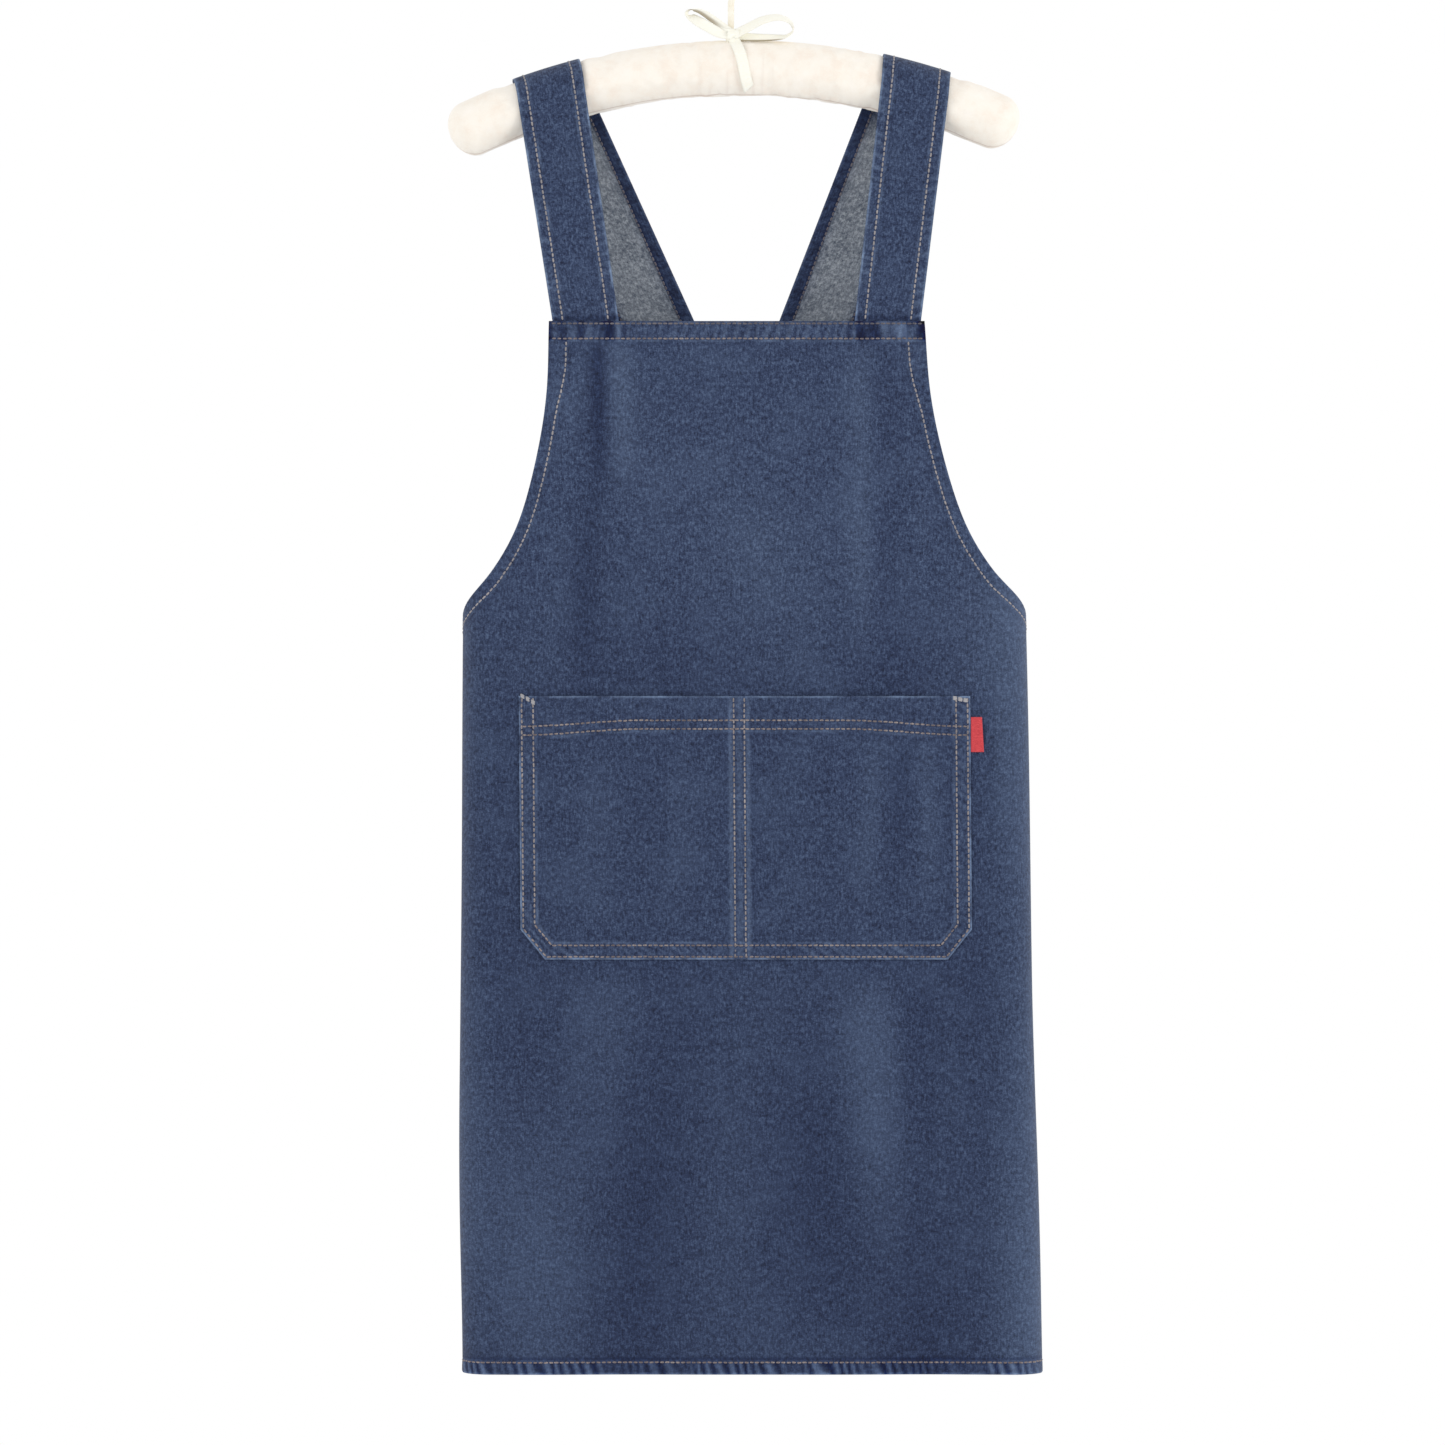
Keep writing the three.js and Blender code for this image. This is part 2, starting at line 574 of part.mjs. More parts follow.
// A flat strip of thread through places { point, normal }, with its width square to its run.
function threadStrip(places) {
  const rows = places.map(({ point, normal }, i) => {
    const before = places[Math.max(i - 1, 0)].point;
    const after = places[Math.min(i + 1, places.length - 1)].point;
    const sideways = vec(0, 0, 0).crossVectors(normal, after.clone().sub(before)).normalize();
    return [-0.5, 0.5].map((s) => ({
      point: point.clone().addScaledVector(sideways, s * THREAD_WIDTH), normal,
    }));
  });
  return sheetSolid(rows, THREAD_THICKNESS);
}

const bodyThread = (places) => threadStrip(places.map(([girth, z]) => onBody(girth, z, THREAD_OUT)));
const pocketThread = (places) => threadStrip(places.map(([x, z]) => onPocket(x, z, THREAD_OUT)));

// The armhole's stitch line, a hem's width inside its edge, over the side and along the back's top.
function armholeThread(side) {
  const onFold = (p, i) => p.x > SKIRT_HALF_TOP - FOLD_R || i % 4 === 0;
  const edge = armhole.getSpacedPoints(68).filter((p, i) => p.y < BAND_STITCH_Z[1] - 1 && onFold(p, i));
  const inside = edge.map((p, i) => {
    const [before, after] = [edge[Math.max(i - 1, 0)], edge[Math.min(i + 1, edge.length - 1)]];
    const along = after.clone().sub(before).normalize();
    return [p.x + along.y * HEM_WIDTH, p.y - along.x * HEM_WIDTH];
  });
  const backGirths = [...backBend, backMiddle, BACK_EDGE_GIRTH - HEM_WIDTH];
  const back = backGirths.map((s) => [s, backTop(s) - HEM_WIDTH]);
  return bodyThread([...inside, ...back].map(([s, z]) => [side * s, z]));
}

function hemThread() {
  const flat = SKIRT_HALF_HEM - FOLD_R;
  const fold = steps(flat, flat + Math.PI * FOLD_R, 16);
  const half = [60, ...fold, BACK_EDGE_GIRTH - 2];
  const z = HEM_Z + HEM_WIDTH;
  return bodyThread([...half.toReversed().map((s) => [-s, z]), ...half.map((s) => [s, z])]);
}

function strapThread(side, edge) {
  const share = STRAP_STITCH / STRAP_BACK_WIDTH;
  const across = edge === "inner" ? share : 1 - share;
  const stations = strapStations(BIB_TOP_Z + 2, BACK_TOP_Z + 2);
  return threadStrip(stations.map((s) => strapRow(side, s, [across], THREAD_OUT)[0]));
}

// The thread that holds the patch: round its sides and bottom, along its mouth and down its middle.
function pocketStitching() {
  const top = POCKET_TOP_Z - 1;
  const slant = Math.hypot(POCKET_CHAMFER_X, POCKET_CHAMFER_Z);
  const round = (inset) => {
    const [half, bottom] = [POCKET_HALF - inset, POCKET_BOTTOM_Z + inset];
    const cutX = POCKET_HALF - POCKET_CHAMFER_X - (inset * (slant - POCKET_CHAMFER_X)) / POCKET_CHAMFER_Z;
    const cutZ = POCKET_BOTTOM_Z + POCKET_CHAMFER_Z + (inset * (slant - POCKET_CHAMFER_Z)) / POCKET_CHAMFER_X;
    const oneSide = [[half, top], [half, cutZ], [cutX, bottom]];
    return pocketThread([...oneSide.map(([x, z]) => [-x, z]), ...oneSide.toReversed()]);
  };
  const down = (x) => pocketThread([[x, top], [x, POCKET_BOTTOM_Z + EDGE_STITCH - 1]]);
  const reach = POCKET_HALF - EDGE_STITCH;
  const mouthPlaces = (z) => [-reach, ...pocketColumns(), reach].map((x) => [x, z]);
  return joined(
    ...POCKET_ROUND_STITCHES.map(round),
    ...[-DIVIDER_STITCH, DIVIDER_STITCH].map((d) => down(POCKET_DIVIDER_X + d)),
    ...POCKET_MOUTH_STITCHES.map((d) => pocketThread(mouthPlaces(POCKET_TOP_Z - d))),
  );
}

// The stitched box that holds a strap's end inside the back.
function strapEndThread(side) {
  const z = [BACK_TOP_Z - HEM_WIDTH - 2.5, STRAP_END_Z + 4];
  const corner = (level, across) => {
    const x = hang(level) + side * strapEdge(level, across, 1);
    return { point: vec(x, FOLD_R + THREAD_OUT, level), normal: vec(0, 1, 0) };
  };
  const line = (a, b) => threadStrip([corner(...a), corner(...b)]);
  const [first, last] = [0.06, 0.8]; // shares of the strap's width, clear of the back edge's own stitching
  return joined(
    line([z[0], first], [z[0], last]), line([z[1], first], [z[1], last]),
    line([z[0] + 0.4, first + 0.03], [z[1] - 0.4, first + 0.03]),
    line([z[0] + 0.4, last - 0.03], [z[1] - 0.4, last - 0.03]),
  );
}

function addApron() {
  add("apron", "front_panel", frontPanel(), denim);
  add("apron", "pocket_panel", pocketPanel(), denim);
  add("apron", "pocket_stitching", pocketStitching(), thread);
  const bandHalf = BIB_HALF - EDGE_STITCH;
  const bandThread = (z) => bodyThread(steps(-bandHalf, bandHalf, 2).map((s) => [s, z]));
  add("apron", "bib_stitch_upper", bandThread(BAND_STITCH_Z[0]), thread);
  add("apron", "bib_stitch_lower", bandThread(BAND_STITCH_Z[1]), thread);
  add("apron", "hem_stitch", hemThread(), thread);
  for (const [name, side] of [["left", -1], ["right", 1]]) {
    add("apron", `back_panel_${name}`, backPanel(side), denim);
    add("apron", `strap_${name}`, strap(side), denim);
    add("apron", `armhole_stitch_${name}`, armholeThread(side), thread);
    const belowTop = BACK_TOP_Z - HEM_WIDTH - 2;
    const aboveHem = HEM_Z + HEM_WIDTH + 2;
    const heights = [belowTop, ...SKIRT_ROWS.slice(0, -1), aboveHem];
    const down = (girth) => bodyThread(heights.map((z) => [side * girth, z]));
    add("apron", `side_seam_stitch_${name}`, down(SEAM_GIRTH + SEAM_STITCH), thread);
    add("apron", `back_edge_stitch_${name}`, down(BACK_EDGE_GIRTH - HEM_WIDTH), thread);
    for (const edge of ["inner", "outer"])
      add("apron", `strap_${name}_stitch_${edge}`, strapThread(side, edge), thread);
    add("apron", `strap_${name}_end_stitch`, strapEndThread(side), thread);
  }
}

// ---- label ----
function addLabel() {
  const x0 = hang(LABEL_Z) + POCKET_HALF + 2 * GAP;
  const back = -FOLD_R - DENIM / 2 - GAP;
  const tab = block(
    [x0, x0 + LABEL_WIDTH], [back - LABEL_THICKNESS, back],
    [LABEL_Z - LABEL_HEIGHT / 2, LABEL_Z + LABEL_HEIGHT / 2],
  );
  add("label", "label_tab", tab, labelRed);
}

addHook();
addHanger();
addBow();
addApron();
addLabel();

export default part;
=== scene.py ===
"""The looks of the denim apron on its padded hanger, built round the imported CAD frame.

Shapes are worked out in millimetres in the CAD frame (+Z up, the apron's front facing -Y) and
turned into metres as each mesh is made.
"""

import bpy
import numpy as np
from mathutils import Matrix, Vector


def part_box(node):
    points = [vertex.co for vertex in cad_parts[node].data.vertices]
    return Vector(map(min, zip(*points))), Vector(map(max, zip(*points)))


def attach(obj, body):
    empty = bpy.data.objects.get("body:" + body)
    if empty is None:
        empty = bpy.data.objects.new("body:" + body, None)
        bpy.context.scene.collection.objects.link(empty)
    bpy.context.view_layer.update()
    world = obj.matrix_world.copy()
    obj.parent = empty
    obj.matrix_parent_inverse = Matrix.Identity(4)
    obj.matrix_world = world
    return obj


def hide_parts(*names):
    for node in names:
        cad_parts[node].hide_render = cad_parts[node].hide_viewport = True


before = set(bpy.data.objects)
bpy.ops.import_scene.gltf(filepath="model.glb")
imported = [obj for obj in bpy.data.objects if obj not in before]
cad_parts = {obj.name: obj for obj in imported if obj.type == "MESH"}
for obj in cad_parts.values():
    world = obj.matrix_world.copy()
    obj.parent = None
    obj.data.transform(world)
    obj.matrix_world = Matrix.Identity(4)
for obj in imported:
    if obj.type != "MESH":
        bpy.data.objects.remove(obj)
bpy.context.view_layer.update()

# ---- driving dimensions, in millimetres ----
MM = 0.001
DENIM = 1.0
FOLD_R = 20.0
BIB_TOP_Z = -274.0
BIB_HALF = 131.5
SIDE_Z = -479.0
HEM_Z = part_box("front_panel")[0].z / MM
SKIRT_HALF_TOP = 196.0
SKIRT_HALF_HEM = 202.0
SIDE_FOLD_SWELL = (1.7, 1.3)  # how far the side folds stand out at the top, and how much more below
SEAM_GIRTH = 250.0
SEAM_TOP_Z = -501.0
SEAM_LAP = 9.0  # how far the back laps over the front at the felled side seam
BACK_EDGE_GIRTH = 402.0
BACK_TOP_Z = -508.0
BACK_SHARES = 500  # a back panel's flat coordinate runs from 0 at its top to this at its hem
HANG_DROP = [97, 274, 479, 749, -HEM_Z]
HANG_X = [1, 4, 9, 11, 14]
ARMHOLE = [
    (BIB_HALF, BIB_TOP_Z), (134.5, -325), (143, -371), (156, -414), (173, -445),
    (192, -466), (222, -489), (SEAM_GIRTH, SEAM_TOP_Z),
]
HEM_WIDTH = 8.5
HEM_STITCH = HEM_WIDTH - 0.6
BAND_STITCHES = (-275.8, -286.3)

STRAP_BACK_Y = 18.8
STRAP_TUCK = 13.0
STRAP_END_Z = -529.0
STRAP_BIB = (82.5, 129.0)
STRAP_RIDGE = (105.5, 154.0)
STRAP_RIDGE_Z = -95.0
STRAP_BACK_SLOPE = 0.405
STRAP_BACK_OFFSET = 2.5  # the back run starts this much nearer the middle than the ridge
STRAP_FLAT = 48.0  # flat coordinate across the strap, from one edge to the other
STRAP_BACK_WIDTH = 52.9
STRAP_BACK_FLARE = 8.0  # widest where the strap passes behind the bib's top
STRAP_BACK_SET = {-1: (4.1, 0.033), 1: (-1.4, 0.0)}  # how each strap lies off its line above the bib
STRAP_OVER_HANGER = 1.2
STRAP_CROSSING_LIFT = 2.3
STRAP_HEM = 8.0
STRAP_STITCH = 7.5
STRAP_CROSSING = (-274, -340, -480, -503)  # the right strap rises over the left one between these heights
FRONT_RUN = 182.0  # the strap's length from inside the bib up to where it meets the hanger
RIDGE_RUN = 60.0
BACK_RUN = 440.0

HANGER_X = 2.0
HANGER_Z = -97.4
HANGER_BEND_R = 444.0
HANGER_RISE = 2.5  # the soft cover sits this much above the plain CAD one
HANGER_TIP = 0.0125  # and is this much higher to the right, for each millimetre along
HANGER_HALF_SPAN = 190.0
HANGER_END = 16.0
HANGER_HALF_HEIGHT = 19.3
HANGER_HALF_DEPTH = 17.4

POCKET_TOP_Z = -536.5
POCKET_BOTTOM_Z = -721.0
POCKET_HALF = 158.0
POCKET_CHAMFER = (17.0, 21.0)
POCKET_DIVIDER_X = -4.0
POCKET_SEWN = 11.0
MOUTH_LINE_DIP = 4.4  # how much lower the mouth's two stitch lines are at their ends
POCKET_FACE = 1.3  # from the apron's middle surface to the patch's

STITCH_PITCH = 3.7
DULL, PALE, PALEST = 0.6, -0.4, -0.75  # the tints of stitches
BOW_Z = -72.3
RIBBON_WIDTH = 8.0

CROOK_R = 19.0
SLEEVE_OUTER_R = 2.3
SEAT_DEPTH = 0.4
CROOK_FROM, CROOK_TO = -40, 198  # degrees
STEM_TOP_Z = -50.0
SLEEVE_FOOT_Z = -76.6

COVER_SEAM_TURN = -1.36  # low on the cover's front, as an angle from its foremost line
PADDING_PRESSURE = 4.0
PUFF_FRAMES = 20
COVER_SWELL_LIMIT = 0.4
PUFF_LIMIT = 0.6  # the most that the simulation may move a point


# ---- small mathematics ----
def smooth(x, low, high):
    """0 at low, 1 at high, smooth between; works downwards too."""
    t = np.clip((np.asarray(x, float) - low) / (high - low), 0, 1)
    return t * t * (3 - 2 * t)


def bump(x, width):
    """1 at 0, falling smoothly on both sides over width."""
    return np.exp(-((np.asarray(x, float) / width) ** 2))


def ripple(x, y, scale, seed, waves=7):
    """Smooth irregular waves of about that length, from -1 to 1."""
    rng = np.random.default_rng(seed)
    total = 0
    for _ in range(waves):
        angle, pace, phase = rng.uniform(0, 2 * np.pi), rng.uniform(0.6, 1.6), rng.uniform(0, 2 * np.pi)
        step = 2 * np.pi * pace / scale
        total = total + np.sin(step * (x * np.cos(angle) + y * np.sin(angle)) + phase)
    return total / np.sqrt(waves)


def spline(points, per_span=12, closed=False):
    """A Catmull-Rom curve through points, as a dense row of points."""
    p = np.array(points, float)
    ends = (p[-1:], p[:2]) if closed else (2 * p[:1] - p[1:2], 2 * p[-1:] - p[-2:-1])
    p = np.concatenate([ends[0], p, ends[1]])
    t = np.linspace(0, 1, per_span, endpoint=False)[:, None]
    rows = []
    for a, b, c, d in zip(p[:-3], p[1:-2], p[2:-1], p[3:]):
        square, cube = 2 * a - 5 * b + 4 * c - d, 3 * b - a - 3 * c + d
        rows.append(0.5 * (2 * b + (c - a) * t + square * t**2 + cube * t**3))
    return np.concatenate([*rows, p[1:2] if closed else p[-2:-1]])


def run_length(path):
    return np.concatenate([[0], np.cumsum(np.linalg.norm(np.diff(path, axis=0), axis=1))])


def read_off(at, places, rows):
    """Rows of numbers known at places, read off at other places."""
    return np.stack([np.interp(at, places, column) for column in rows.T], axis=1)


def spaced(path, step):
    """The same path with points a step apart."""
    path = np.array(path, float)
    length = run_length(path)
    count = max(2, int(round(length[-1] / step)) + 1)
    return read_off(np.linspace(0, length[-1], count), length, path)


def crowded(count, power):
    """From -1 to 1, closer together near both ends."""
    share = np.linspace(-1, 1, count)
    return np.sign(share) * (1 - (1 - np.abs(share)) ** power)


def unit(v):
    return v / np.maximum(np.linalg.norm(v, axis=-1, keepdims=True), 1e-9)


# ---- the apron's own surface ----
def hang(z):
    """The cloth's centre line drifts to +X on its way down."""
    return np.interp(-np.asarray(z, float), HANG_DROP, HANG_X)


def skirt_half(z):
    return SKIRT_HALF_TOP + (SKIRT_HALF_HEM - SKIRT_HALF_TOP) * np.clip((SIDE_Z - z) / (SIDE_Z - HEM_Z), 0, 1)


armhole_curve = spline(ARMHOLE, 40)


def armhole_reach(z):
    """Girth from the centre front to the front panel's edge, at height z."""
    return np.interp(-np.asarray(z, float), -armhole_curve[:, 1], armhole_curve[:, 0])


def armhole_sine(z):
    """Sine of the angle between the armhole's edge and a level line."""
    step = 1.0
    run = (armhole_reach(z - step) - armhole_reach(z + step)) / (2 * step)
    return 1 / np.sqrt(1 + run**2)


def drape(girth, z):
    """How far the hanging cloth stands off its plain surface."""
    x = np.asarray(girth, float)
    z = np.asarray(z, float)
    in_bib = smooth(z, -300, -330) * (0.4 + 0.6 * smooth(z, -385, -425))
    pull_left = -102 - 10 * smooth(z, -330, -483)
    out = -2.6 * bump(x - pull_left, 11) * in_bib * smooth(z, -560, -470)
    out = out + 1.7 * bump(x - 84, 11) * in_bib * smooth(z, -560, -440)
    out = out + 1.3 * bump(x - 126, 10) * in_bib * smooth(z, -470, -390)
    out = out - 1.1 * bump(x - 100, 10) * in_bib * smooth(z, -540, -420)
    out = out + 0.9 * bump(x - 8, 30) * in_bib * smooth(z, -520, -420)
    below = smooth(z, -722, -760)
    out = out + 2.6 * bump(x - 84 - 6 * smooth(z, -760, -950), 22) * below * smooth(z, -1000, -800)
    out = out - 1.6 * bump(x - 118, 16) * below * smooth(z, -960, -800)
    out = out + 1.6 * bump(x + 96 + 10 * smooth(z, -760, -950), 30) * below * smooth(z, -1010, -800)
    side_fold = SIDE_FOLD_SWELL[0] + SIDE_FOLD_SWELL[1] * smooth(z, -740, -950)
    out = out + side_fold * bump(np.abs(x) - 208, 22) * smooth(z, -440, -485)
    under_pocket = smooth(z, -520, -545) * smooth(z, -740, -715) * (np.abs(x) < 175)
    soft = ripple(x, 0.45 * z, 120, 3) * (0.75 + 0.6 * smooth(z, -720, -1000))
    out = out + soft * (1 - 0.75 * under_pocket) * smooth(-z, 290, 330)
    behind = smooth(np.abs(x), 225, 262)
    swing = ripple(0.9 * x, 0.25 * z, 150, 11) * (0.4 + 2.2 * smooth(z, -560, -1000))
    return out * (1 - behind) + swing * behind * smooth(z, -515, -600)


def on_body(girth, z, out=0.0):
    """Points on the cloth wrapped round front, side folds and back, raised by out."""
    girth, z = np.broadcast_arrays(np.asarray(girth, float), np.asarray(z, float))
    side = np.where(girth < 0, -1.0, 1.0)
    flat = skirt_half(z) - FOLD_R
    turn = np.clip((np.abs(girth) - flat) / FOLD_R, 0, np.pi)
    run = np.abs(girth) - turn * FOLD_R
    r = FOLD_R + drape(girth, z) + out
    x = flat - np.abs(flat - run) + r * np.sin(turn)
    return np.stack([hang(z) + side * x, -r * np.cos(turn), z], axis=-1)


# ---- meshes ----
def make_object(name, verts, faces, materials, attributes=(), face_materials=None, smooth_faces=True):
    """A mesh object from millimetre points. attributes is {name: values}, one value or vector a point."""
    mesh = bpy.data.meshes.new(name)
    mesh.from_pydata((np.asarray(verts) * MM).tolist(), [], [tuple(f) for f in faces])
    for key, values in dict(attributes).items():
        values = np.asarray(values, np.float32)
        kind, field = ("FLOAT_VECTOR", "vector") if values.ndim == 2 else ("FLOAT", "value")
        made = mesh.attributes.new(key, kind, "POINT")
        made.data.foreach_set(field, values.ravel())
    for material in materials:
        mesh.materials.append(material)
    if face_materials is not None:
        mesh.polygons.foreach_set("material_index", np.asarray(face_materials, np.int32))
    mesh.polygons.foreach_set("use_smooth", np.full(len(mesh.polygons), smooth_faces))
    mesh.update()
    made = bpy.data.objects.new(name, mesh)
    bpy.context.scene.collection.objects.link(made)
    return made


def grid_faces(rows, cols, base=0, flip=False, around=False):
    r, c = np.meshgrid(np.arange(rows - 1), np.arange(cols if around else cols - 1), indexing="ij")
    a = base + r * cols + c
    b = base + r * cols + (c + 1) % cols
    quads = np.stack([a, b, b + cols, a + cols], axis=-1).reshape(-1, 4)
    return quads[:, ::-1] if flip else quads


def rim_walls(rows, cols):
    """The narrow faces round the edge of two grids, the second one's points after the first's."""
    count = rows * cols
    rim = np.concatenate([
        np.arange(cols), cols * np.arange(1, rows) + cols - 1,
        (rows - 1) * cols + np.arange(cols - 2, -1, -1), cols * np.arange(rows - 2, 0, -1),
    ])
    after = np.roll(rim, -1)
    return np.stack([after, rim, rim + count, after + count], axis=-1)


def tube_faces(rows, cols, flip=False):
    """Faces of a grid that closes on itself, with a cap at each end."""
    last = (rows - 1) * cols
    caps = [list(range(cols - 1, -1, -1)), list(range(last, last + cols))]
    if flip:
        caps = [cap[::-1] for cap in caps]
    return [list(q) for q in grid_faces(rows, cols, flip=flip, around=True)] + caps


class Sheet:
    """Cloth of real thickness over a grid of flat coordinates (u, v).

    place(u, v) gives its middle surface. relief(u, v) gives how far the outer and the inner face stand
    out past the plain thickness, the wear with painted highlights, the shade, and where the inner face shows
    its face side.
    """

    def __init__(self, place, relief, outward):
        self.place, self.relief, self.outward = place, relief, outward

    def normal(self, u, v):
        step = 0.6
        du = self.place(u + step, v) - self.place(u - step, v)
        dv = self.place(u, v + step) - self.place(u, v - step)
        return unit(np.cross(du, dv)) * self.outward

    def face(self, u, v, inner=False, lift=0.0):
        """Points on the outer or inner face, and the direction out of it there."""
        u, v = np.asarray(u, float), np.asarray(v, float)
        outer, inside = self.relief(u, v)[:2]
        way = -1.0 if inner else 1.0
        stand = DENIM / 2 + (inside if inner else outer) + lift
        n = self.normal(u, v)
        return self.place(u, v) + n * way * stand[..., None], n * way

    def build(self, name, u, v, materials):
        rows, cols = u.shape
        outer, inside, wear_and_highlight, shade, doubled = self.relief(u, v)
        points, n = self.place(u, v), self.normal(u, v)
        front = points + n * (DENIM / 2 + outer)[..., None]
        back = points - n * (DENIM / 2 + inside)[..., None]
        verts = np.concatenate([front.reshape(-1, 3), back.reshape(-1, 3)])
        count = rows * cols
        flip = self.flips(points, n)
        walls = rim_walls(rows, cols)
        walls = walls[:, ::-1] if flip else walls
        faces = np.concatenate([
            grid_faces(rows, cols, flip=flip), grid_faces(rows, cols, count, flip=not flip), walls,
        ])
        double = doubled.reshape(-1)
        inner_quads = grid_faces(rows, cols)
        is_wrong = double[inner_quads].mean(axis=1) < 0.5
        kinds = np.concatenate([
            np.zeros(len(inner_quads)), np.where(is_wrong, 1, 0), np.zeros(len(walls)),
        ])
        flat = np.stack([u, v, 0 * u], axis=-1).reshape(-1, 3)
        attributes = {
            "cloth": np.concatenate([flat, flat + [0, 0, 40]]),
            "wear_and_highlight": np.concatenate([wear_and_highlight.reshape(-1), 0.4 * wear_and_highlight.reshape(-1)]),
            "shade": np.concatenate([shade.reshape(-1), np.clip(shade.reshape(-1) + 0.62 * double, 0, 1)]),
        }
        return make_object(name, verts, faces, materials, attributes, kinds)

    @staticmethod
    def flips(points, n):
        across = points[0, 1] - points[0, 0]
        down = points[1, 0] - points[0, 0]
        return float(np.dot(np.cross(across, down), n[0, 0])) < 0


# ---- hems and seams ----
def roping(along, from_edge, seed, period=7.2):
    """The slanting puckers of a turned and topstitched hem, from -1 to 1."""
    wander = 2.6 * ripple(along, 0 * along, 50, seed) + 0.9 * ripple(along, 0 * along, 17, seed + 1)
    strength = 0.6 + 0.5 * ripple(along, 0 * along, 38, seed + 2)
    return np.sin(2 * np.pi * (along / period + from_edge / 26) + wander) * np.clip(strength, 0.1, 1)


def hem_relief(from_edge, along, width, stitch, seed, strength=1.0):
    """Relief of a hem turned to the inside: outer and inner face, wear, shade, and where it is doubled."""
    inside = smooth(from_edge, width + 1.0, width - 0.3)
    rounding = smooth(from_edge, -0.2, 1.1)
    groove = bump(from_edge - stitch, 0.8)
    pucker = roping(along, from_edge, seed) * inside
    outer = inside * (0.42 * rounding - 0.25) - 0.3 * groove + 0.2 * strength * pucker * rounding
    inner = inside * (1.05 * rounding - 0.25) - 0.25 * groove + 0.16 * strength * pucker
    lightened = 0.7 + 0.45 * ripple(along, 0 * along, 30, seed + 3)
    ridge = bump(from_edge - 0.5, 0.8) + 0.4 * bump(from_edge - width - 0.9, 0.9)
    wear_and_highlight = 0.75 * ridge * lightened + 0.6 * strength * np.clip(pucker, 0, 1) * inside
    beside = 0.25 * bump(from_edge - width - 2.2, 1.6)
    shade = 0.8 * strength * np.clip(-pucker, 0, 1) * inside + 0.3 * groove + beside
    return outer, inner, wear_and_highlight, shade, (from_edge < width).astype(float)


def stack(*reliefs):
    """Several reliefs on one sheet: heights take the strongest, wear and shade add up."""
    outers, inners, wears, shades, doubles = zip(*reliefs)

    def strongest(values):
        values = np.stack(np.broadcast_arrays(*values))
        pick = np.abs(values).argmax(axis=0)
        return np.take_along_axis(values, pick[None], axis=0)[0]

    return (
        strongest(outers), strongest(inners), np.clip(sum(wears), 0, 1.2), np.clip(sum(shades), 0, 1),
        np.max(np.stack(np.broadcast_arrays(*doubles)), axis=0),
    )


def skirt_darkening(girth, z):
    """Darker lower down the skirt than on the bib; less so over the side folds, a painted highlight of the
    folds turned to the light.
    """
    lightened = 0.2 * smooth(-girth, 150, 192) + 0.5 * smooth(girth, 150, 192)
    return (0.33 * smooth(z, -435, -570) + 0.08 * smooth(z, -700, -1000)) * (1 - lightened)


def bottom_hem(girth, z):
    outer, inner, wear_and_highlight, shade, double = hem_relief(z - HEM_Z, girth, HEM_WIDTH, HEM_WIDTH, 41, 1.0)
    shade = shade + 0.22 * double + 0.35 * bump(z - HEM_Z - HEM_WIDTH - 2.4, 1.8)
    return outer, inner, wear_and_highlight, shade, double


def armhole_hem(z):
    """The armhole's hem is wider towards the band."""
    return HEM_WIDTH + 4.5 * smooth(z, -345, -300)


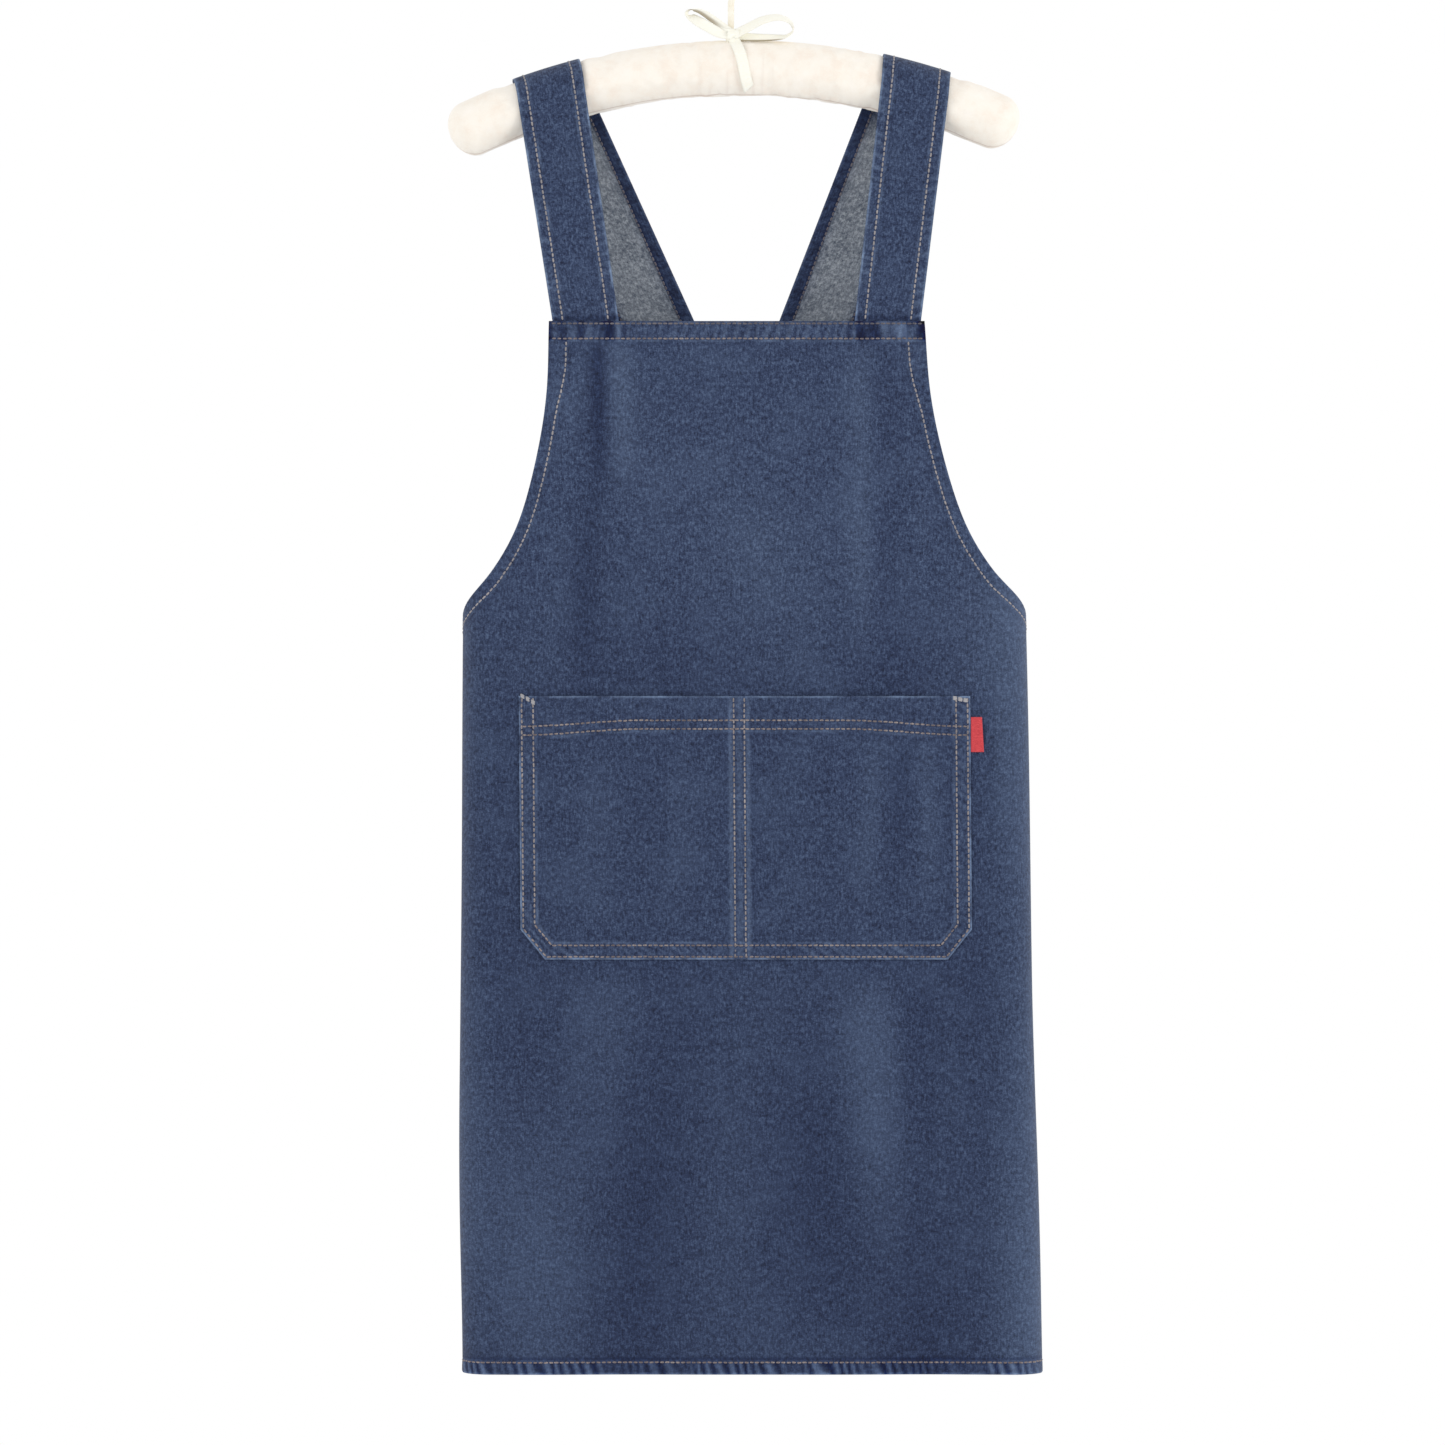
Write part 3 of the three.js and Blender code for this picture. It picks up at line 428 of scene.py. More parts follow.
def front_relief(girth, z):
    reach = armhole_reach(z)
    sine = armhole_sine(z)
    from_arm = np.where(z > SEAM_TOP_Z, (reach - np.abs(girth)) * sine, 99)
    arm_width = armhole_hem(z)
    along_arm = -z * 1.15 + np.where(girth < 0, 13, 0) + 0.6 * np.abs(girth)
    arm = hem_relief(from_arm, along_arm, arm_width, arm_width - 0.6, 21, 0.45)
    arm = (*arm[:2], 0.35 * arm[2], arm[3] + 0.45 * bump(from_arm - 0.5, 1.0), arm[4])
    band = hem_relief(BIB_TOP_Z - z, girth, 13.0, 12.3, 31, 0.25)
    top_groove = bump(z - BAND_STITCHES[0], 0.7)
    low = bottom_hem(girth, z)
    outer, inner, wear_and_highlight, shade, double = stack(arm, band, low)
    in_band = smooth(z, -290, -286)
    strap_at = STRAP_BIB[0]
    over_strap = smooth(np.abs(girth), strap_at - 1.5, strap_at + 1.5) * in_band
    outer = outer + 0.55 * over_strap - 0.15 * top_groove
    inner = inner * (1 - 0.9 * over_strap)
    wear_and_highlight = wear_and_highlight + 0.12 * bump(np.abs(girth) - strap_at, 1.6) * in_band
    # Painted highlight on the drape's fold crests and over the right side fold; painted shade in the fold
    # hollows.
    fold = drape(girth, z)
    wear_and_highlight = wear_and_highlight + 0.06 * np.clip(fold, 0, 3) + 0.05 * smooth(girth, 160, 185) * smooth(girth, 225, 200)
    shade = shade + 0.15 * top_groove + 0.17 * np.clip(-fold, 0, 3) + skirt_darkening(girth, z)
    shade = shade + 0.5 * bump(np.abs(girth) - strap_at + 3.5, 2.2) * in_band + 0.5 * bump(z - BIB_TOP_Z, 1.2)
    # The band creases over the straps: a little relief, a painted highlight on the crests, and painted shade
    # in the hollows and over the band there.
    crease = np.clip(ripple(girth, 0.12 * z, 13, 37), -1, 1) * over_strap
    outer, wear_and_highlight = outer + 0.22 * crease, wear_and_highlight + 0.45 * np.clip(crease, 0, 1)
    shade = shade + 0.9 * np.clip(-crease, 0, 1) + 0.22 * over_strap
    shade = shade + 0.4 * bump(np.abs(girth) - BIB_HALF, 4) * in_band
    wear_and_highlight = wear_and_highlight * (1 - 0.7 * bump(z - BIB_TOP_Z, 1.8))
    # Painted shade down a fold below the band on the left, a painted highlight beside it, and fainter ones on
    # the right.
    below_band = smooth(z, -286, -296) * smooth(z, -430, -330)
    shade = shade + below_band * (0.85 * bump(girth + 98, 7) + 0.15 * bump(girth - 104, 9))
    wear_and_highlight = wear_and_highlight + below_band * (0.10 * bump(girth + 82, 9) + 0.05 * bump(girth - 86, 9))
    return outer, inner, wear_and_highlight, shade, double


def back_top(girth):
    return SEAM_TOP_Z + (BACK_TOP_Z - SEAM_TOP_Z) * smooth(np.abs(girth), SEAM_GIRTH - 12, SEAM_GIRTH + 32)


def lap(girth):
    """The back panels lie over the front panel's edge along the side seams."""
    return 1.35 * smooth(np.abs(girth), SEAM_GIRTH + 9, SEAM_GIRTH + 1)


def back_place(side):
    """Flat coordinates of a back panel are (girth, share of the way down)."""
    def place(u, v):
        top = back_top(u)
        z = top + (HEM_Z - top) * v / BACK_SHARES
        return on_body(side * u, z, lap(u))
    return place


def back_relief(side):
    def relief(u, v):
        top = back_top(u)
        drop = (top - HEM_Z) * v / BACK_SHARES
        z = top - drop
        upper = hem_relief(drop, u, HEM_WIDTH, HEM_STITCH, 51 + side, 0.8)
        lower = bottom_hem(u, z)
        edge = hem_relief(BACK_EDGE_GIRTH - u, z, HEM_WIDTH, HEM_STITCH, 61 + side, 0.7)
        from_seam = u - (SEAM_GIRTH - SEAM_LAP)
        felled = bump(from_seam - 2, 0.8) + bump(from_seam - 8, 0.8)
        pucker = roping(z, from_seam, 71) * smooth(from_seam, 12, 9)
        ridge = bump(from_seam - 0.5, 0.9) + bump(from_seam - 9.5, 0.9)
        seam = (
            -0.3 * felled + 0.15 * pucker, 0 * u, 0.5 * ridge + 0.35 * np.clip(pucker, 0, 1),
            0.3 * felled + 0.3 * np.clip(-pucker, 0, 1) + skirt_darkening(0 * u, z), 0 * u,
        )
        return stack(upper, lower, edge, seam)
    return relief


# ---- straps ----
def hanger_drop(x):
    return HANGER_BEND_R - np.sqrt(HANGER_BEND_R**2 - (x - HANGER_X) ** 2)


def hanger_lift(x):
    return HANGER_RISE + HANGER_TIP * (x - HANGER_X)


def hanger_z(x):
    return HANGER_Z - hanger_drop(x) + hanger_lift(x)


def strap_edge(z, across, phase, side):
    """Distance from the centre line to a point across the strap, before (0) and behind (1) the hanger."""
    t = (z - BIB_TOP_Z) / (STRAP_RIDGE_Z - BIB_TOP_Z)
    inner = STRAP_BIB[0] + (STRAP_RIDGE[0] - STRAP_BIB[0]) * t
    outer = STRAP_BIB[1] + (STRAP_RIDGE[1] - STRAP_BIB[1]) * t
    front = inner + (outer - inner) * across
    back_inner = STRAP_RIDGE[0] - STRAP_BACK_OFFSET - STRAP_BACK_SLOPE * (STRAP_RIDGE_Z - z)
    outward, inward = STRAP_BACK_SET[side]
    back_inner = back_inner + (outward - inward * (STRAP_RIDGE_Z - z)) * smooth(z, -350, -275)
    flare = STRAP_BACK_FLARE * bump(z - BIB_TOP_Z, 75)
    return front + (back_inner + (STRAP_BACK_WIDTH + flare) * across - front) * phase


def strap_place(side):
    """Flat coordinates of a strap are (place across in mm, length along it)."""
    def place(u, v):
        across = u / STRAP_FLAT
        x = hang(STRAP_RIDGE_Z) + side * (STRAP_RIDGE[0] + (STRAP_RIDGE[1] - STRAP_RIDGE[0]) * across)
        arc = np.clip((v - FRONT_RUN) / RIDGE_RUN, 0, 1) * np.pi
        phase = smooth(arc / np.pi, 0, 1)
        for _ in range(5):
            tilt = np.sqrt(1 - ((x - HANGER_X) / HANGER_BEND_R) ** 2)
            rise = (HANGER_HALF_HEIGHT + STRAP_OVER_HANGER) / tilt
            level = hanger_z(x)
            start = BIB_TOP_Z - STRAP_TUCK
            z_front = start + (level - start) * np.clip(v / FRONT_RUN, 0, 1)
            beyond = np.clip((v - FRONT_RUN - RIDGE_RUN) / BACK_RUN, 0, 1)
            z_back = level + (STRAP_END_Z - level) * beyond
            z_ridge = level + rise * np.sin(arc)
            z = np.where(v < FRONT_RUN, z_front, np.where(v > FRONT_RUN + RIDGE_RUN, z_back, z_ridge))
            x = hang(z) + side * strap_edge(z, across, phase, side)
        y = -STRAP_BACK_Y * np.cos(arc)
        if side > 0:
            start, risen, falling, end = STRAP_CROSSING
            crossing = smooth(z, start, risen) * (1 - smooth(z, falling, end))
            y = y + STRAP_CROSSING_LIFT * crossing * (arc >= np.pi)
        free_front = smooth(v, 20, 70) * smooth(v, FRONT_RUN - 10, FRONT_RUN - 70)
        behind = v - FRONT_RUN - RIDGE_RUN
        free_back = smooth(behind, 20, 80) * smooth(z, -330, -290)
        y = y - 0.5 * free_front * ripple(u * 0.6, v, 90, 80 + side) + 0.9 * free_back * bump(u - 24, 14)
        return np.stack([x, y, z], axis=-1)
    return place


def strap_relief(side):
    def relief(u, v):
        left = hem_relief(u, v, STRAP_HEM, STRAP_STITCH, 91 + side, 0.34)
        right = hem_relief(STRAP_FLAT - u, v + 3, STRAP_HEM, STRAP_STITCH, 95 + side, 0.34)
        outer, inner, wear_and_highlight, shade, double = stack(left, right)
        groove = bump(u - STRAP_STITCH, 1.5) + bump(STRAP_FLAT - u - STRAP_STITCH, 1.5)
        under_hanger = bump(v - FRONT_RUN - RIDGE_RUN - 15, 14)
        above_band = bump(v - STRAP_TUCK - 2.4, 1.8)
        shade = np.clip(shade + 0.25 * groove + 0.85 * under_hanger + 0.8 * above_band, 0, 1)
        return 0.5 * outer, np.minimum(inner, 0.75), wear_and_highlight, shade, double
    return relief


# ---- pocket ----
def pocket_half(z):
    cut = np.clip((POCKET_BOTTOM_Z + POCKET_CHAMFER[1] - z) / POCKET_CHAMFER[1], 0, 1)
    return POCKET_HALF - POCKET_CHAMFER[0] * cut


def pocket_from_edge(x, z):
    """Distance to the patch's sides, cut corners and bottom."""
    side = POCKET_HALF - np.abs(x)
    bottom = z - POCKET_BOTTOM_Z
    dx, dz = POCKET_CHAMFER
    corner = (side * dz + bottom * dx - dx * dz) / np.hypot(dx, dz)
    return np.minimum(np.minimum(side, bottom), corner)


def pocket_folds(u, v):
    """Soft upright folds under the patch's mouth, deepest in the right compartment."""
    lean = 0.06 * (v + 640)
    right = 0.8 * bump(u - 86 - lean, 9) - 1.3 * bump(u - 106 - lean, 8) + 0.8 * bump(u - 128, 8)
    left = 0.35 * bump(u + 44, 12) - 0.3 * bump(u + 70, 13) + 0.25 * bump(u + 104, 12)
    return (right + left) * smooth(v, -705, -630) * smooth(v, -556, -590)


def pocket_place(u, v):
    """Flat coordinates of the patch are (x from the centre line, z)."""
    edge = pocket_from_edge(u, v)
    from_divider = np.abs(u - POCKET_DIVIDER_X) - POCKET_SEWN / 2
    room = smooth(np.minimum(edge - POCKET_SEWN, from_divider), -2, 46)
    mouth = 0.35 + 0.65 * smooth(v, -700, -560)
    stand = 2.4 * room * mouth
    folds = pocket_folds(u, v)
    near_mouth = smooth(v, -556, POCKET_TOP_Z)
    lip = -0.7 * bump(u - 60, 34) * near_mouth + 0.5 * bump(u + 80, 30) * near_mouth
    soft = 0.35 * ripple(u, v, 55, 101)
    return on_body(u, v, POCKET_FACE + stand + (folds + soft + lip) * room)


def mouth_line_dip(u):
    return MOUTH_LINE_DIP * smooth(np.abs(u), 70, POCKET_HALF)


def pocket_relief(u, v):
    edge = pocket_from_edge(u, v)
    below_mouth = POCKET_TOP_Z - v
    hem_depth = below_mouth - mouth_line_dip(u) * smooth(below_mouth, 4, 14)
    sides = hem_relief(edge, v + u, POCKET_SEWN, 10, 111, 0.35)
    outer_line = bump(edge - 2, 0.8)
    mouth = hem_relief(hem_depth, u, 24, 23, 121, 0.1)
    mouth_line = bump(hem_depth - 17, 0.8)
    from_middle = np.abs(u - POCKET_DIVIDER_X)
    lines = bump(from_middle - 3.7, 0.8)
    ridge = bump(from_middle, 2.2)
    middle = (
        0.22 * ridge - 0.3 * lines, 0 * u, 0.3 * bump(from_middle - 6.0, 1.4) + 0.15 * ridge,
        0.3 * lines + 0.1 * bump(from_middle - 9, 2.5), 0 * u,
    )
    outer, inner, wear_and_highlight, shade, double = stack(sides, mouth, middle)
    wear_and_highlight = wear_and_highlight * (1 - 0.2 * bump(below_mouth, 3) * (1 - ripple(u, 0 * u, 46, 131)))
    lines = np.maximum(outer_line, mouth_line)
    # Painted highlight on the crests of the folds under the mouth, painted shade in their hollows.
    fold = pocket_folds(u, v)
    wear_and_highlight = wear_and_highlight + 0.10 * np.clip(fold, 0, 2)
    shade = shade + 0.25 * lines + 0.2 * np.clip(-fold, 0, 2) + 0.18
    return outer - 0.25 * lines, np.minimum(inner, 0.5), wear_and_highlight, shade, double


# ---- sewing thread ----
def stitch_shape():
    """One stitch as (points, faces): along x, across y, up z, in millimetres; it dips in at both ends."""
    rings, sides = 6, 6
    points = []
    for i in range(rings):
        t = i / (rings - 1)
        fat = (0.45 + 0.55 * np.sin(np.pi * t) ** 0.5) * 0.66
        dip = -0.5 * abs(2 * t - 1) ** 3
        for k in range(sides):
            a = 2 * np.pi * k / sides
            points.append(((t - 0.5) * (STITCH_PITCH - 0.1), fat * np.cos(a), dip + 0.7 * fat * np.sin(a)))
    return np.array(points), tube_faces(rings, sides)


STITCH_POINTS, STITCH_FACES = stitch_shape()


class Stitches:
    """Rows of single stitches gathered into one mesh."""

    def __init__(self, seed):
        self.rng = np.random.default_rng(seed)
        self.verts, self.faces, self.tints = [], [], []

    def row(self, sheet, path, inner=False, tint=0.0, up=0.12):
        """Stitches along path, a list of flat coordinates on that sheet. tint is -1 paler to 1 duller."""
        path = np.array(path, float)
        dense = spaced(path, 1.0)
        points, out = sheet.face(dense[:, 0], dense[:, 1], inner, up)
        length = run_length(points)
        count = int(length[-1] / STITCH_PITCH)
        if count < 1:
            return
        middle = (np.arange(count) + 0.5) * (length[-1] / count)
        at = read_off(middle, length, points)
        n = unit(read_off(middle, length, out))
        t = unit(read_off(middle, length, np.gradient(points, axis=0)))
        side = unit(np.cross(n, t))
        skew = self.rng.normal(0, 0.05, count)[:, None]
        t, side = t + skew * side, side - skew * t
        at = at + side * self.rng.normal(0, 0.07, count)[:, None]
        size = self.rng.uniform(0.92, 1.06, count)
        for i in range(count):
            p = STITCH_POINTS * [size[i], 1, 1]
            base = len(self.verts) * len(STITCH_POINTS)
            self.tints += [tint] * len(STITCH_POINTS)
            self.verts.append(at[i] + p[:, :1] * t[i] + p[:, 1:2] * side[i] + p[:, 2:] * n[i])
            self.faces += [[base + j for j in f] for f in STITCH_FACES]

    def build(self, name, material):
        return make_object(name, np.concatenate(self.verts), self.faces, [material], {"tint": self.tints})


# ---- materials ----
class Nodes:
    """A material's node tree, with short calls for the nodes that are used here."""

    def __init__(self, name):
        self.material = bpy.data.materials.new(name)
        self.material.use_nodes = True
        self.tree = self.material.node_tree
        self.shader = self.tree.nodes["Principled BSDF"]

    def new(self, kind, **values):
        node = self.tree.nodes.new("ShaderNode" + kind)
        for key, value in values.items():
            setattr(node, key, value)
        return node

    def link(self, a, b):
        self.tree.links.new(a, b)

    def put(self, value, socket):
        if isinstance(value, bpy.types.NodeSocket):
            self.link(value, socket)
        else:
            socket.default_value = value

    def math(self, operation, a, b=0.0, clamp=False):
        node = self.new("Math", operation=operation, use_clamp=clamp)
        self.put(a, node.inputs[0])
        self.put(b, node.inputs[1])
        return node.outputs[0]

    def total(self, *terms):
        """The sum of (value, weight) terms."""
        whole, *others = [self.math("MULTIPLY", value, weight) for value, weight in terms]
        for part in others:
            whole = self.math("ADD", whole, part)
        return whole

    def mix(self, factor, a, b, blend="MIX"):
        node = self.new("Mix", data_type="RGBA", blend_type=blend)
        self.put(factor, node.inputs[0])
        self.put((*a, 1) if isinstance(a, tuple) else a, node.inputs[6])
        self.put((*b, 1) if isinstance(b, tuple) else b, node.inputs[7])
        return node.outputs[2]

    def noise(self, vector, scale, detail=2.0, rough=0.5):
        node = self.new("TexNoise")
        node.inputs["Scale"].default_value = scale
        node.inputs["Detail"].default_value = detail
        node.inputs["Roughness"].default_value = rough
        self.link(vector, node.inputs["Vector"])
        return node.outputs["Fac"]

    def stretch(self, vector, scale):
        node = self.new("Mapping")
        node.inputs["Scale"].default_value = scale
        self.link(vector, node.inputs["Vector"])
        return node.outputs[0]

    def ramp(self, value, *stops):
        node = self.new("ValToRGB")
        ramp = node.color_ramp
        while len(ramp.elements) < len(stops):
            ramp.elements.new(0.5)
        for element, (place, color) in zip(ramp.elements, stops):
            element.position = place
            element.color = (*color, 1) if isinstance(color, tuple) else (color, color, color, 1)
        self.link(value, node.inputs[0])
        return node.outputs[0]

    def attribute(self, name, output="Fac"):
        return self.new("Attribute", attribute_name=name).outputs[output]

    def bump(self, height, distance_mm, strength=1.0):
        node = self.new("Bump")
        node.inputs["Distance"].default_value = distance_mm * MM
        node.inputs["Strength"].default_value = strength
        self.link(height, node.inputs["Height"])
        self.link(node.outputs[0], self.shader.inputs["Normal"])

    def finish(self, color, roughness, sheen=0.0, sheen_roughness=0.5, metallic=0.0, specular=0.5):
        self.put((*color, 1) if isinstance(color, tuple) else color, self.shader.inputs["Base Color"])
        self.put(roughness, self.shader.inputs["Roughness"])
        self.shader.inputs["Sheen Weight"].default_value = sheen
        self.shader.inputs["Sheen Roughness"].default_value = sheen_roughness
        self.shader.inputs["Metallic"].default_value = metallic
        self.shader.inputs["Specular IOR Level"].default_value = specular
        return self.material


def rgb(r, g, b):
    """A colour given as 0 to 255 on screen, in linear light."""
    def linear(c):
        c = c / 255
        return c / 12.92 if c <= 0.04045 else ((c + 0.055) / 1.055) ** 2.4
    return (linear(r), linear(g), linear(b))


def denim_material(name, dark, body, light, worn_and_highlight, contrast):
    """Twill: slubby upright yarns, a fine slant, speckle, large soft fading, wear on raised edges with
    painted highlights on fold crests, and painted shade that darkens it towards blue.
    """
    m = Nodes(name)
    cloth = m.attribute("cloth", "Vector")
    yarns = m.noise(m.stretch(cloth, (0.9, 0.22, 1)), 1.0, 3.0, 0.6)
    speck = m.noise(cloth, 0.42, 4.0, 0.72)
    crumble = m.noise(cloth, 1.1, 3.0, 0.7)
    cloudy = m.noise(cloth, 0.022, 3.0, 0.6)
    place = m.new("SeparateXYZ")
    m.link(cloth, place.inputs[0])
    slant = m.math("ADD", place.outputs[0], m.math("MULTIPLY", place.outputs[1], 0.62))
    twill = m.math("SINE", m.math("MULTIPLY", slant, 2 * np.pi / 0.95))
    blotch = m.noise(cloth, 0.13, 3.0, 0.6)
    grain = m.total((yarns, 0.26), (speck, 0.4), (blotch, 0.12), (crumble, 0.24), (twill, 0.012))
    tone = m.ramp(grain, (0.51 - contrast, dark), (0.51, body), (0.51 + contrast, light))
    faded = m.mix(m.math("MULTIPLY", m.math("SUBTRACT", cloudy, 0.47), 0.8, clamp=True), tone, light)
    fleck = m.math("MULTIPLY", m.math("SUBTRACT", crumble, 0.66), 3.0, clamp=True)
    faded = m.mix(fleck, faded, worn_and_highlight)
    uneven = m.math("ADD", m.math("MULTIPLY", speck, 1.3), 0.1)
    wear_and_highlight = m.math("MULTIPLY", m.attribute("wear_and_highlight"), uneven, clamp=True)
    worn_and_highlit_tone = m.mix(wear_and_highlight, faded, worn_and_highlight)
    bluer = m.new("CombineColor")
    for socket, depth in zip(bluer.inputs, (0.72, 0.66, 0.5)):
        m.link(m.math("SUBTRACT", 1.0, m.math("MULTIPLY", m.attribute("shade"), depth)), socket)
    color = m.mix(1.0, worn_and_highlit_tone, bluer.outputs[0], "MULTIPLY")
    m.bump(m.math("ADD", grain, m.math("MULTIPLY", twill, 0.1)), 0.35, 0.8)
    return m.finish(color, m.math("ADD", 0.78, m.math("MULTIPLY", speck, 0.2)), sheen=0.12, specular=0.25)


def thread_material():
    m = Nodes("tan_thread")
    place = m.new("TexCoord").outputs["Object"]
    ply = m.noise(place, 900.0, 2.0)
    patch = m.noise(place, 60.0, 2.0)
    tone = m.ramp(m.total((ply, 0.5), (patch, 0.5)),
                  (0.38, rgb(88, 79, 82)), (0.5, rgb(118, 107, 108)), (0.62, rgb(152, 141, 138)))
    tint = m.attribute("tint")
    tone = m.mix(m.math("MULTIPLY", tint, 1.0, clamp=True), tone, rgb(62, 66, 82))
    tone = m.mix(m.math("MULTIPLY", tint, -1.0, clamp=True), tone, rgb(172, 172, 176))
    m.bump(ply, 0.15, 0.6)
    return m.finish(tone, 0.62, sheen=0.1)


def cover_material(name, base, warm, pale, bump_mm, crease_shaded=False):
    """Napped ivory cloth: soft mottling, a fine nap and a few small dark specks; optionally painted shade in
    its creases, read from the shade attribute.
    """
    m = Nodes(name)
    place = m.new("TexCoord").outputs["Object"]
    cloud = m.noise(place, 75.0, 4.0, 0.6)
    nap = m.noise(place, 900.0, 3.0, 0.7)
    tone = m.ramp(m.total((cloud, 0.75), (nap, 0.25)), (0.36, warm), (0.5, base), (0.66, pale))
    specks = m.new("TexVoronoi")
    specks.inputs["Scale"].default_value = 24.0
    m.link(place, specks.inputs["Vector"])
    spot = m.math("LESS_THAN", specks.outputs["Distance"], 0.018)
    tone = m.mix(m.math("MULTIPLY", spot, 0.6), tone, rgb(120, 108, 100))
    if crease_shaded:
        tone = m.mix(m.math("MULTIPLY", m.attribute("shade"), 0.75), tone, rgb(196, 168, 152))
    m.bump(m.total((nap, 0.6), (cloud, 0.4)), bump_mm, 0.5)
    return m.finish(tone, 0.9, sheen=0.25, sheen_roughness=0.6, specular=0.2)


def grained_material(name, grain, stops, relief, roughness, varied=0.0, shaded=None, **finish):
    """Ribbon, tape, wood or wire with one long grain, a noise given as (stretch, scale, detail, rough)."""
    m = Nodes(name)
    stretch, *fineness = grain
    fibres = m.noise(m.stretch(m.new("TexCoord").outputs["Object"], stretch), *fineness)
    tone = m.ramp(fibres, *stops)
    if shaded:
        tone = m.mix(m.attribute("shade"), tone, shaded)
    if varied:
        roughness = m.math("ADD", roughness, m.math("MULTIPLY", fibres, varied))
    m.bump(fibres, *relief)
    return m.finish(tone, roughness, **finish)


denim = denim_material(
    "denim_face", rgb(17, 25, 50), rgb(48, 61, 91), rgb(84, 101, 131), rgb(136, 158, 190), 0.1)
denim_wrong = denim_material(
    "denim_wrong", rgb(60, 68, 86), rgb(120, 127, 137), rgb(172, 178, 186), rgb(178, 184, 194), 0.11)
thread = thread_material()
ivory = cover_material(
    "ivory_velour", rgb(252, 245, 234), rgb(249, 238, 225), rgb(255, 249, 240), 0.4, crease_shaded=True)
sleeve_cloth = cover_material(
    "sleeve_cloth", rgb(250, 244, 228), rgb(243, 232, 212), rgb(255, 251, 240), 0.2)
# The ribbon's shaded colour is painted shade under and inside the bow's loops.
ribbon_cloth = grained_material(
    "ivory_ribbon", ((1, 1, 6), 500.0, 2.0), [(0.3, rgb(254, 250, 235)), (0.7, rgb(255, 255, 247))],
    (0.1, 0.5), 0.5, shaded=rgb(148, 132, 100), sheen=0.2, specular=0.4)
label_cloth = grained_material(
    "red_woven", ((1, 1, 4), 700.0, 2.0),
    [(0.3, rgb(176, 44, 54)), (0.55, rgb(206, 58, 66)), (0.8, rgb(224, 92, 96))],
    (0.12, 0.7), 0.7, sheen=0.15)
wood = grained_material(
    "beech", ((4, 60, 60), 6.0, 4.0, 0.6), [(0.3, rgb(176, 140, 96)), (0.7, rgb(214, 184, 140))],
    (0.2, 0.3), 0.6)
steel = grained_material(
    "bright_wire", ((1, 1, 0.05), 800.0, 3.0), [(0.3, rgb(150, 150, 153)), (0.7, rgb(196, 196, 199))],
    (0.03, 0.3), 0.22, varied=0.2, metallic=1.0)


# ---- the pieces ----
def place_piece(piece, body, slot, *nodes):
    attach(piece, body)
    if nodes:
        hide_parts(*nodes)
    return piece


front = Sheet(on_body, front_relief, outward=1.0)


def rows_of(*stretches):
    """Heights for grid rows: (from, to, step) stretches joined end to end."""
    rows = []
    for start, end, step in stretches:
        count = max(1, int(round(abs(end - start) / step)))
        rows += list(np.linspace(start, end, count, endpoint=False))
    return np.array(rows + [stretches[-1][1]])


def build_front():
    z = rows_of((BIB_TOP_Z, -276, 0.5), (-276, -290, 1.0), (-290, -440, 2.2), (-440, -503, 1.1),
                (-503, HEM_Z + 13, 2.9), (HEM_Z + 13, HEM_Z + 2, 1.0), (HEM_Z + 2, HEM_Z, 0.5))
    u = crowded(321, 1.12)[None, :] * armhole_reach(z)[:, None]
    v = np.broadcast_to(z[:, None], u.shape)
    piece = front.build("denim_front", u, v, [denim, denim_wrong])
    return place_piece(piece, "apron", "denim", "front_panel")


def build_back(side, name):
    sheet = Sheet(back_place(side), back_relief(side), outward=-1.0 * side)
    seam, edge = SEAM_GIRTH, BACK_EDGE_GIRTH
    u = rows_of((seam - SEAM_LAP, seam + 4, 0.8), (seam + 4, edge - 12, 2.0), (edge - 12, edge - 1.5, 1.0),
                (edge - 1.5, edge, 0.5))
    v = rows_of((0, 1.5, 0.5), (1.5, 13, 1.0), (13, BACK_SHARES - 12, 3.0),
                (BACK_SHARES - 12, BACK_SHARES - 2, 1.0), (BACK_SHARES - 2, BACK_SHARES, 0.5))
    vv, uu = np.meshgrid(v, u, indexing="ij")
    piece = sheet.build(f"denim_back_{name}", uu, vv, [denim, denim_wrong])
    return place_piece(piece, "apron", "denim", f"back_panel_{name}"), sheet


def build_strap(side, name):
    sheet = Sheet(strap_place(side), strap_relief(side), outward=1.0 * side)
    u = np.concatenate([np.linspace(0, 10, 12), np.linspace(11.5, 36.5, 14), np.linspace(38, STRAP_FLAT, 12)])
    v = rows_of((0, FRONT_RUN, 1.6), (FRONT_RUN, FRONT_RUN + RIDGE_RUN, 1.2),
                (FRONT_RUN + RIDGE_RUN, FRONT_RUN + RIDGE_RUN + BACK_RUN, 1.7))
    vv, uu = np.meshgrid(v, u, indexing="ij")
    piece = sheet.build(f"denim_strap_{name}", uu, vv, [denim, denim_wrong])
    return place_piece(piece, "apron", "denim", f"strap_{name}"), sheet


pocket = Sheet(pocket_place, pocket_relief, outward=1.0)


def build_pocket():
    top, bottom = POCKET_TOP_Z, POCKET_BOTTOM_Z
    z = rows_of((top, top - 2, 0.5), (top - 2, top - 28, 1.2), (top - 28, bottom + 22, 2.0),
                (bottom + 22, bottom + 2, 1.0), (bottom + 2, bottom, 0.5))
    u = crowded(241, 1.15)[None, :] * pocket_half(z)[:, None]
    v = np.broadcast_to(z[:, None], u.shape)
    piece = pocket.build("denim_pocket", u, v, [denim, denim_wrong])
    return place_piece(piece, "apron", "denim", "pocket_panel")


def sew(name, seed, rows, *nodes, tint=0.0):
    """rows is a list of (sheet, path, inner, and its own tint if it has one); inner thread is dull."""
    stitches = Stitches(seed)
    for sheet, path, inner, *own in rows:
        stitches.row(sheet, path, inner, DULL if inner else (own or [tint])[0])
    place_piece(stitches.build(name, thread), "apron", "thread", *nodes)


